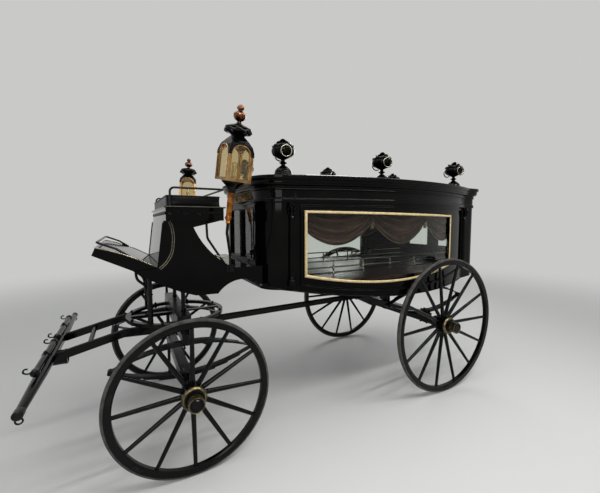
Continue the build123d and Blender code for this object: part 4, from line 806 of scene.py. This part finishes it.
def swell(made, pins, reach):
    # Voxel remesh, then twenty frames of cloth under inside pressure with the welts and buttons held
    shape = made.modifiers.new("even mesh", "REMESH")
    shape.mode, shape.voxel_size = "VOXEL", pad["voxel"]
    evaluated = made.evaluated_get(bpy.context.evaluated_depsgraph_get())
    made.data = bpy.data.meshes.new_from_object(evaluated)
    made.modifiers.clear()
    rest = np.empty(len(made.data.vertices) * 3)
    made.data.vertices.foreach_get("co", rest)
    rest = rest.reshape(-1, 3)
    held = np.array([np.linalg.norm(pins - point, axis=1).min() < reach for point in rest])
    held |= rest[:, 2] < pad["low"] + 0.004
    group = made.vertex_groups.new(name="held")
    group.add(np.flatnonzero(held).tolist(), 1.0, "REPLACE")
    cloth = made.modifiers.new("cloth", "CLOTH")
    cloth.settings.use_pressure = True
    cloth.settings.uniform_pressure_force = pad["pressure"]
    cloth.settings.effector_weights.gravity = 0.0
    cloth.settings.vertex_group_mass = "held"
    for step in range(1, 21):
        bpy.context.scene.frame_set(step)
    evaluated = made.evaluated_get(bpy.context.evaluated_depsgraph_get())
    swelled = np.empty(len(rest) * 3)
    evaluated.data.vertices.foreach_get("co", swelled)
    move = swelled.reshape(-1, 3) - rest
    far = np.linalg.norm(move, axis=1, keepdims=True)
    rest = rest + move * np.minimum(1, pad["cap"] / np.maximum(far, 1e-9))
    made.modifiers.clear()
    bpy.context.scene.frame_set(1)
    made.data.vertices.foreach_set("co", rest.ravel())
    made.data.shade_smooth()
    made.modifiers.new("smooth hide", "SUBSURF").levels = 1
    made.modifiers[0].render_levels = 1


weltLoops = [pointsOf(*(padMid + outline).T, height)
    for height in (pad["low"] + 0.004, pad["high"] - 0.003)]
buttonHeads = pointsOf(*buttonSpots.T, pad["high"] + 0.003 - pad["dimple"])
swell(seatPad, np.vstack([*weltLoops, buttonHeads]), 0.008)
buttonRings = mm((0, -4), (9.5, -4), (11, -1), (9, 3), (4.5, 5), (0, 5.5))
buttonGrids = [turned(smoothCurve(buttonRings, 24), spot, steps=20) for spot in buttonHeads]
weltGrids = [loopTube(welt, upright, 0.0034, 8) for welt in weltLoops]
makePiece("seatPadTrim", buttonGrids + weltGrids, seatHide, sharp=60)
print("cushion")

# Seat: rounded lip, and a carved running vine under it
seatMid, seatHalf = midHalf(seat["rear"], seat["front"])
lipMid = (seatMid, 0, seat["high"] - seat["lipDrop"])
lipHalf = (seatHalf + seat["lip"], seat["halfWide"] + seat["lip"])
lipTurn = np.linspace(-pi / 2, pi / 2, 9)
lipSection = np.column_stack([0.004 * np.cos(lipTurn) - 0.001, 0.002 + 0.0028 * np.sin(lipTurn)])
# The lip's olive-grey colour is a painted highlight along its rounded edge
makePiece("seatLip", [frameBand(lipMid, lipHalf, *np.eye(3), lipSection)], paintedHighlightLine, sharp=60)
vine = dict(z=1.645, sway=0.009, pitch=0.088, wire=0.0032, leaf=(0.016, 0.0065, 0.0035))
vineGrids = []
rearX, frontX, halfY = seat["rear"], seat["front"], seat["halfWide"]
for start, end, out in (((rearX, halfY), (frontX, halfY), (0, 1, 0)),
        ((rearX, -halfY), (frontX, -halfY), (0, -1, 0)), ((frontX, -halfY), (frontX, halfY), (1, 0, 0)),
        ((rearX, -halfY), (rearX, halfY), (-1, 0, 0))):
    start, end, out = np.array([*start, vine["z"]]), np.array([*end, vine["z"]]), np.array(out, float)
    length = np.linalg.norm(end - start)
    along = (end - start) / length
    waves = round((length - 0.03) / vine["pitch"])
    s = np.linspace(0.015, length - 0.015, waves * 16 + 1)
    phase = np.linspace(0, waves * 2 * pi, len(s))
    stemLine = start + s[:, None] * along + (vine["sway"] * np.sin(phase))[:, None] * upright + 0.0012 * out
    vineGrids.append(tube(stemLine, vine["wire"], 8, 0.8))
    for k in range(2 * waves):
        flip = 1 if k % 2 == 0 else -1
        spot = start + (0.015 + (k + 0.5) * (length - 0.03) / (2 * waves)) * along
        for lean, reach in ((0.5, 1.0), (-0.6, 0.8)):
            leafAlong = along * np.cos(lean * flip) + upright * np.sin(lean * flip)
            leafUp = np.cross(out, leafAlong)
            vineGrids.append(lozenge(spot - flip * upright * 0.004 + leafAlong * 0.008 * np.sign(lean)
                + 0.001 * out, leafAlong, leafUp, out, [reach * h for h in vine["leaf"]], 7, 10))
makePiece("seatVine", vineGrids, coachLacquer, sharp=50)

# Boot: twin reeds that sweep down each side, and edge beads on the front panel
boot = dict(halfWide=0.5, sweep=((2.352, 1.59), (2.338, 1.556), (2.329, 1.483), (2.341, 1.392),
    (2.374, 1.33), (2.414, 1.292)), shifts=(0.0, 0.012))
lineGrids = []
for side in (-1, 1):
    line = smoothCurve(boot["sweep"], 48)
    along = np.gradient(line, axis=0)
    normal = np.column_stack([-along[:, 1], along[:, 0]]) / np.linalg.norm(along, axis=1, keepdims=True)
    for shift in boot["shifts"]:
        flat = line - normal * shift
        path = pointsOf(rearAxle + flat[:, 0], side * boot["halfWide"], flat[:, 1])
        lineGrids.append(tube(path, 0.0036, 10))
# The reeds' olive-grey colour is a painted highlight along them
makePiece("bootLines", lineGrids, paintedHighlightLine, sharp=50)
bootGrids = []
frontEdge = [np.array([rearAxle + x, 0, z]) for x, z in ((2.4195, 1.291), (2.3815, 1.584))]
for side in (-1, 1):
    ends = [point + [0.0, side * (boot["halfWide"] - 0.01), 0.0] for point in frontEdge]
    bootGrids.append(tube(np.linspace(*ends, 8), 0.005, 10))
makePiece("bootEdges", bootGrids, coachLacquer, sharp=50)

# Toe board: bright edge irons along both sides and the tip
toe = dict(root=(2.42, 1.29), tip=(2.757, 1.435), bulge=0.016, halfWide=0.48)
share = np.linspace(0, 1, 24)
toeLine = np.column_stack([toe["root"][0] + share * (toe["tip"][0] - toe["root"][0]),
    toe["root"][1] + share * (toe["tip"][1] - toe["root"][1]) + 4 * toe["bulge"] * share * (1 - share)])
toeGrids = []
for side in (-1, 1):
    path = pointsOf(rearAxle + toeLine[:, 0], side * (toe["halfWide"] - 0.002), toeLine[:, 1])
    toeGrids.append(tube(path, 0.0042, 10))
tip = [(rearAxle + toe["tip"][0] - 0.001, side * toe["halfWide"], toe["tip"][1]) for side in (-1, 1)]
toeGrids.append(tube(np.linspace(*tip, 8), 0.0042, 10))
makePiece("toeEdgeIrons", toeGrids, darkNickel, sharp=50)
bracketGrids = []
for side in (-1, 1):
    path = [(2.046, 0.486, 1.352), (2.01, 0.492, 1.342), (1.98, 0.502, 1.338), (1.952, 0.513, 1.346)]
    path = [(rearAxle + x, side * y, z) for x, y, z in path]
    bracketGrids.append(rod(path, 0.0055, 20))
    bracketGrids += [lozenge(spot, *np.eye(3), (0.011, 0.009, 0.009), 9, 14)
        for spot in (path[0], path[-1])]
makePiece("lampBrackets", bracketGrids, darkNickel)
print("driver's place")

# Wheels: brass nave band, dark cap with a brass rim, felloe plates with bolts
wheelSet = dict(front=dict(x=kingPin, track=0.72, radius=0.5, spokes=12),
    rear=dict(x=rearAxle, track=0.803, radius=0.625, spokes=14))
bandRings = mm((70, 9), (77, 9), (78.5, 12), (78.2, 18), (76.5, 22.5), (71, 30), (66, 32), (62.5, 31.5),
    (62.5, 29), (70, 9))
cupRings = mm((40, 36), (46.5, 36), (49, 40), (47.5, 46), (47, 88), (49, 93), (50, 98.5), (49, 104),
    (45.5, 105), (43, 103), (42.5, 98.5), (40, 36))
eyeRings = mm((20, 96), (23.5, 96), (24.5, 98.5), (23.2, 101), (20.5, 101.2), (19.5, 98.5), (20, 96))
faceRings = mm((0, 90), (43, 90), (43, 97.5), (33, 98.2), (23, 97.8), (12, 98.2), (10, 101),
    (6, 103), (0, 103.4))
felloePlate = dict(inset=0.0382, halfWide=0.011, halfLong=0.034, low=0.018, high=0.0225,
    bolts=(-0.02, 0.02))
boltRings = mm((0, 0), (6.5, 0), (5.5, 3), (0, 4.2))


def turnOut(entry, centre, side):
    # A piece turned about Z is laid over so that its Z points out of the carriage
    grid, wrap, caps = unpacked(entry)
    x, y, z = grid[..., 0], grid[..., 1], grid[..., 2]
    return pointsOf(centre[0] + x, centre[1] + side * z, centre[2] + y), wrap, caps


def arcPlate(radius, halfWide, turn, halfTurn, low, high):
    # Thin plate that follows the felloe's curve over a short turn
    angle = np.linspace(turn - halfTurn, turn + halfTurn, 9)
    section = [(radius - halfWide, low), (radius + halfWide, low), (radius + halfWide, high),
        (radius - halfWide, high)]
    rows = [pointsOf(r * np.cos(angle), r * np.sin(angle), z) for r, z in section]
    return np.stack(rows, 1), True, True


for endName, spec in wheelSet.items():
    for sideName, side in bothSides.items():
        centre = (spec["x"], side * spec["track"], spec["radius"])
        body = f"{endName}_{sideName}_wheel"
        bands = [turned(rings, steps=72) for rings in (bandRings, cupRings, eyeRings)]
        makePiece(f"naveBands_{endName}_{sideName}", [turnOut(band, centre, side) for band in bands],
            naveBrass, body)
        plates = [turned(faceRings, steps=48)]
        felloe = spec["radius"] - felloePlate["inset"]
        low, high = felloePlate["low"], felloePlate["high"]
        for k in range(0, spec["spokes"], 2):
            turn = (k + 0.5) * 2 * pi / spec["spokes"]
            for foot, top in ((low, high), (-high, -low)):
                plates.append(arcPlate(felloe, felloePlate["halfWide"], turn,
                    felloePlate["halfLong"] / felloe, foot, top))
            for shift in felloePlate["bolts"]:
                boltTurn = turn + shift / felloe
                spot = (felloe * np.cos(boltTurn), felloe * np.sin(boltTurn), high - 0.0003)
                plates.append(turned(boltRings, spot, steps=12))
        makePiece(f"wheelIrons_{endName}_{sideName}", [turnOut(plate, centre, side) for plate in plates],
            ironEnamel, body)
print("wheels")

# Spring clips, eye bolts, axle bands: one set on the carriage and one on the steered gear
springSet = dict(rear=dict(body="carriage", x=rearAxle, y=0.55, half=0.5, middle=0.818,
    clips=((0.594, 0.718), (0.918, 0.981)), bed=(0.6, 0.684), bandY=0.565),
    front=dict(body="front_gear", x=kingPin, y=0.5, half=0.45, middle=0.67175,
    clips=((0.469, 0.586), (0.758, 0.853)), bed=(0.475, 0.551), bandY=0.535))
clip = dict(halfWide=0.037, spread=0.021, corner=0.008, wire=0.005, nut=(0.009, 0.008))
eyeBolt = dict(out=0.022, nut=(0.011, 0.008))
bandSection = mm((-2, -12), (3, -12), (3, 12), (-2, 12))
for endName, spec in springSet.items():
    irons = []
    for side in (-1, 1):
        x, y = spec["x"], side * spec["y"]
        for low, high in spec["clips"]:
            clipMid, clipHalf = midHalf(low, high)
            loop = roundedLoop(clip["halfWide"], clipHalf, clip["corner"], 5)
            for clipX in (x - clip["spread"], x + clip["spread"]):
                path = pointsOf(clipX, y + loop[:, 0], clipMid + loop[:, 1])
                irons.append(loopTube(path, forward, clip["wire"], 8))
                for clipY in (y - clip["halfWide"], y + clip["halfWide"]):
                    irons += nut((clipX, clipY, low), -upright, *clip["nut"])
        for end in (-1, 1):
            for face in (-1, 1):
                irons += nut((x + end * spec["half"], y + face * eyeBolt["out"], spec["middle"]),
                    face * aside, *eyeBolt["nut"])
        bedMid, bedHalf = midHalf(*spec["bed"])
        irons.append(frameBand((x, side * spec["bandY"], bedMid), (0.036, bedHalf), forward, upright,
            aside, bandSection))
    makePiece(f"springIrons_{endName}", irons, ironEnamel, spec["body"])

# Turntable: bolts through both rings, stays up to the boot, collars on the posts, plate on the perch
table = dict(bolts=8, circle=0.345, top=0.873, foot=0.8465, nut=(0.01, 0.008), stayY=0.215, stayWire=0.0095,
    postY=0.25, posts=(-0.02, 0.2), collars=(0.945, 1.075), collarRadius=0.0165)
topIrons, gearIrons = [], []
for turn in turns(table["bolts"]) + pi / table["bolts"]:
    x, y = kingPin + table["circle"] * np.cos(turn), table["circle"] * np.sin(turn)
    topIrons += nut((x, y, table["top"]), upright, *table["nut"])
    gearIrons += nut((x, y, table["foot"]), -upright, *table["nut"])
stay = [(2.534, 1.268), (2.542, 1.238), (2.541, 1.207), (2.5299, 1.1775), (2.4894, 1.1352), (2.474, 1.0814),
    (2.4705, 1.0025), (2.471, 0.876)]
for side in (-1, 1):
    topIrons.append(rod([(rearAxle + x, side * table["stayY"], z) for x, z in stay], table["stayWire"], 48))
    for place in table["posts"]:
        for height in table["collars"]:
            spot = (kingPin + place, side * table["postY"], height)
            topIrons.append(ringGrid(spot, upright, table["collarRadius"], 0.0035, 24, 8))
topIrons.append(tube(np.linspace((rearAxle + 0.02, 0, 0.8125), (kingPin - 0.045, 0, 0.78), 20), 0.0075, 10))
perchClip = dict(halfWide=0.032, halfTall=0.11, middle=0.706, spread=0.022)
loop = roundedLoop(perchClip["halfWide"], perchClip["halfTall"], clip["corner"], 5)
for x in (rearAxle - perchClip["spread"], rearAxle + perchClip["spread"]):
    path = pointsOf(x, loop[:, 0], perchClip["middle"] + loop[:, 1])
    topIrons.append(loopTube(path, forward, clip["wire"], 8))
makePiece("turntableIrons", topIrons, ironEnamel)

# Steered gear: plates on the futchells, the bar's nuts, ferrules and eyes, bands on the pole socket
bar = dict(x=rearAxle + 3.05, z=0.718, half=0.9, futchell=0.21, boltTop=0.028, eyeIn=0.022, eyeDrop=0.034,
    socket=dict(spread=0.052, z=0.645, radius=0.05))
ferruleRings = mm((0, -1), (18, -1), (22.2, 2), (22.5, 44), (20.5, 50), (0, 50))
for side in (-1, 1):
    y = side * bar["futchell"]
    gearIrons.append(tube([(kingPin + 0.04, y, 0.8395), (kingPin + 0.352, y, 0.8395),
        (kingPin + 0.372, y, 0.837), (bar["x"] - 0.03, y, 0.743)], 0.0075, 10))
    gearIrons += nut((bar["x"] - 0.002, y, bar["z"] + bar["boltTop"]), upright, 0.013, 0.011)
    tipSpot = (bar["x"], side * (bar["half"] + 0.001), bar["z"])
    gearIrons.append(turned(ferruleRings, tipSpot, -side * aside, 36))
    eyeSpot = (bar["x"], side * (bar["half"] - bar["eyeIn"]), bar["z"] - bar["eyeDrop"])
    gearIrons.append(ringGrid(eyeSpot, aside, 0.014, 0.004))
socket = bar["socket"]
for bandX in (bar["x"] - socket["spread"], bar["x"] + socket["spread"]):
    gearIrons.append(ringGrid((bandX, 0, socket["z"]), forward, socket["radius"], 0.0035, 48, 8))
makePiece("steeredIrons", gearIrons, ironEnamel, "front_gear")

# Swingletrees: a cap and a hook that stands ahead at each end, an eye and a nut in the middle
treeBar = dict(y=0.31, half=0.265, z=0.777, hookIn=0.018, hookWire=0.0045, eye=0.0175, boltTop=0.015,
    hook=((0.016, 0.0), (0.036, -0.002), (0.052, 0.008), (0.046, 0.024), (0.032, 0.024)))
capRings = mm((0, -1), (17, -1), (21.8, 3), (21.8, 30), (18, 36), (0, 36))
treeIrons = []
for side in (-1, 1):
    middleY = side * treeBar["y"]
    for end in (-1, 1):
        y = middleY + end * treeBar["half"]
        treeIrons.append(turned(capRings, (bar["x"], y + end * 0.001, treeBar["z"]), -end * aside, 30))
        y -= end * treeBar["hookIn"]
        hook = [(bar["x"] + x, y, treeBar["z"] + z) for x, z in treeBar["hook"]]
        treeIrons.append(rod(hook, treeBar["hookWire"], 24, 10))
    treeIrons.append(ringGrid((bar["x"], middleY, treeBar["z"]), aside, treeBar["eye"], 0.004))
    treeIrons += nut((bar["x"], middleY, treeBar["z"] + treeBar["boltTop"]), upright, 0.012, 0.01)
makePiece("treeIrons", treeIrons, ironEnamel, "front_gear")
print("running gear")

# Pale floor that fades into the backdrop's colour, so that no horizon shows
backdropColour = "#c9cac8"
floorSize = 60
floorMesh = bpy.data.meshes.new("studioFloor")
floorMesh.from_pydata([(-floorSize, -floorSize, 0), (floorSize, -floorSize, 0), (floorSize, floorSize, 0),
    (-floorSize, floorSize, 0)], [], [(0, 1, 2, 3)])
studioFloor = bpy.data.objects.new("studioFloor", floorMesh)
bpy.context.scene.collection.objects.link(studioFloor)
floorFinish = bpy.data.materials.new("paleFloor")
floorFinish.use_nodes = True
tree = floorFinish.node_tree
tree.nodes.clear()
floorPlace = addNode(tree, "TexCoord", out="Object")
away = addNode(tree, "VectorMath", {0: floorPlace}, 1, operation="LENGTH")
fade = addNode(tree, "MapRange", {"Value": away, "From Min": 2.5, "From Max": 11.0},
    interpolation_type="SMOOTHERSTEP")
matt = addNode(tree, "BsdfPrincipled", {"Base Color": "#cfcfcc", "Roughness": 0.6})
glow = addNode(tree, "Emission", {"Color": backdropColour})
floorMix = addNode(tree, "MixShader", {0: fade, 1: matt, 2: glow})
addNode(tree, "OutputMaterial", {"Surface": floorMix})
floorMesh.materials.append(floorFinish)

world = bpy.data.worlds.new("studio")
bpy.context.scene.world = world
world.use_nodes = True
tree = world.node_tree
tree.nodes.clear()
rays = addNode(tree, "LightPath").node.outputs
seen = addNode(tree, "Math", {0: rays["Is Camera Ray"], 1: rays["Is Glossy Ray"]}, operation="MAXIMUM")
seen = addNode(tree, "Math", {0: seen, 1: rays["Is Transmission Ray"]}, operation="MAXIMUM")
skyColour = addNode(tree, "Mix", {0: seen, 6: "#a4a6a8", 7: backdropColour}, 2, data_type="RGBA")
addNode(tree, "OutputWorld", {"Surface": addNode(tree, "Background", {"Color": skyColour})})

lights = (("overhead", (0.0, 0.4, 4.2), (0.0, 0.0, 0.9), 5.0, 2.4, 80),
    ("nearSide", (2.6, 4.6, 3.0), (0.0, 0.0, 1.0), 2.4, 2.4, 70),
    ("farSide", (-3.6, -3.6, 3.2), (0.0, 0.0, 1.0), 2.4, 2.4, 60),
    ("longStrip", (-0.75, 2.4, 3.6), (-0.6, 0.4, 1.4), 3.4, 0.22, 80))
for lightName, spot, aim, wide, tall, power in lights:
    bulb = bpy.data.lights.new(lightName, "AREA")
    bulb.shape = "RECTANGLE"
    bulb.size, bulb.size_y, bulb.energy = wide, tall, power
    stand = bpy.data.objects.new(lightName, bulb)
    bpy.context.scene.collection.objects.link(stand)
    stand.location = spot
    stand.rotation_euler = (Vector(aim) - Vector(spot)).to_track_quat("-Z", "Y").to_euler()

bpy.context.scene.view_settings.view_transform = "Standard"

print("pieces ready")
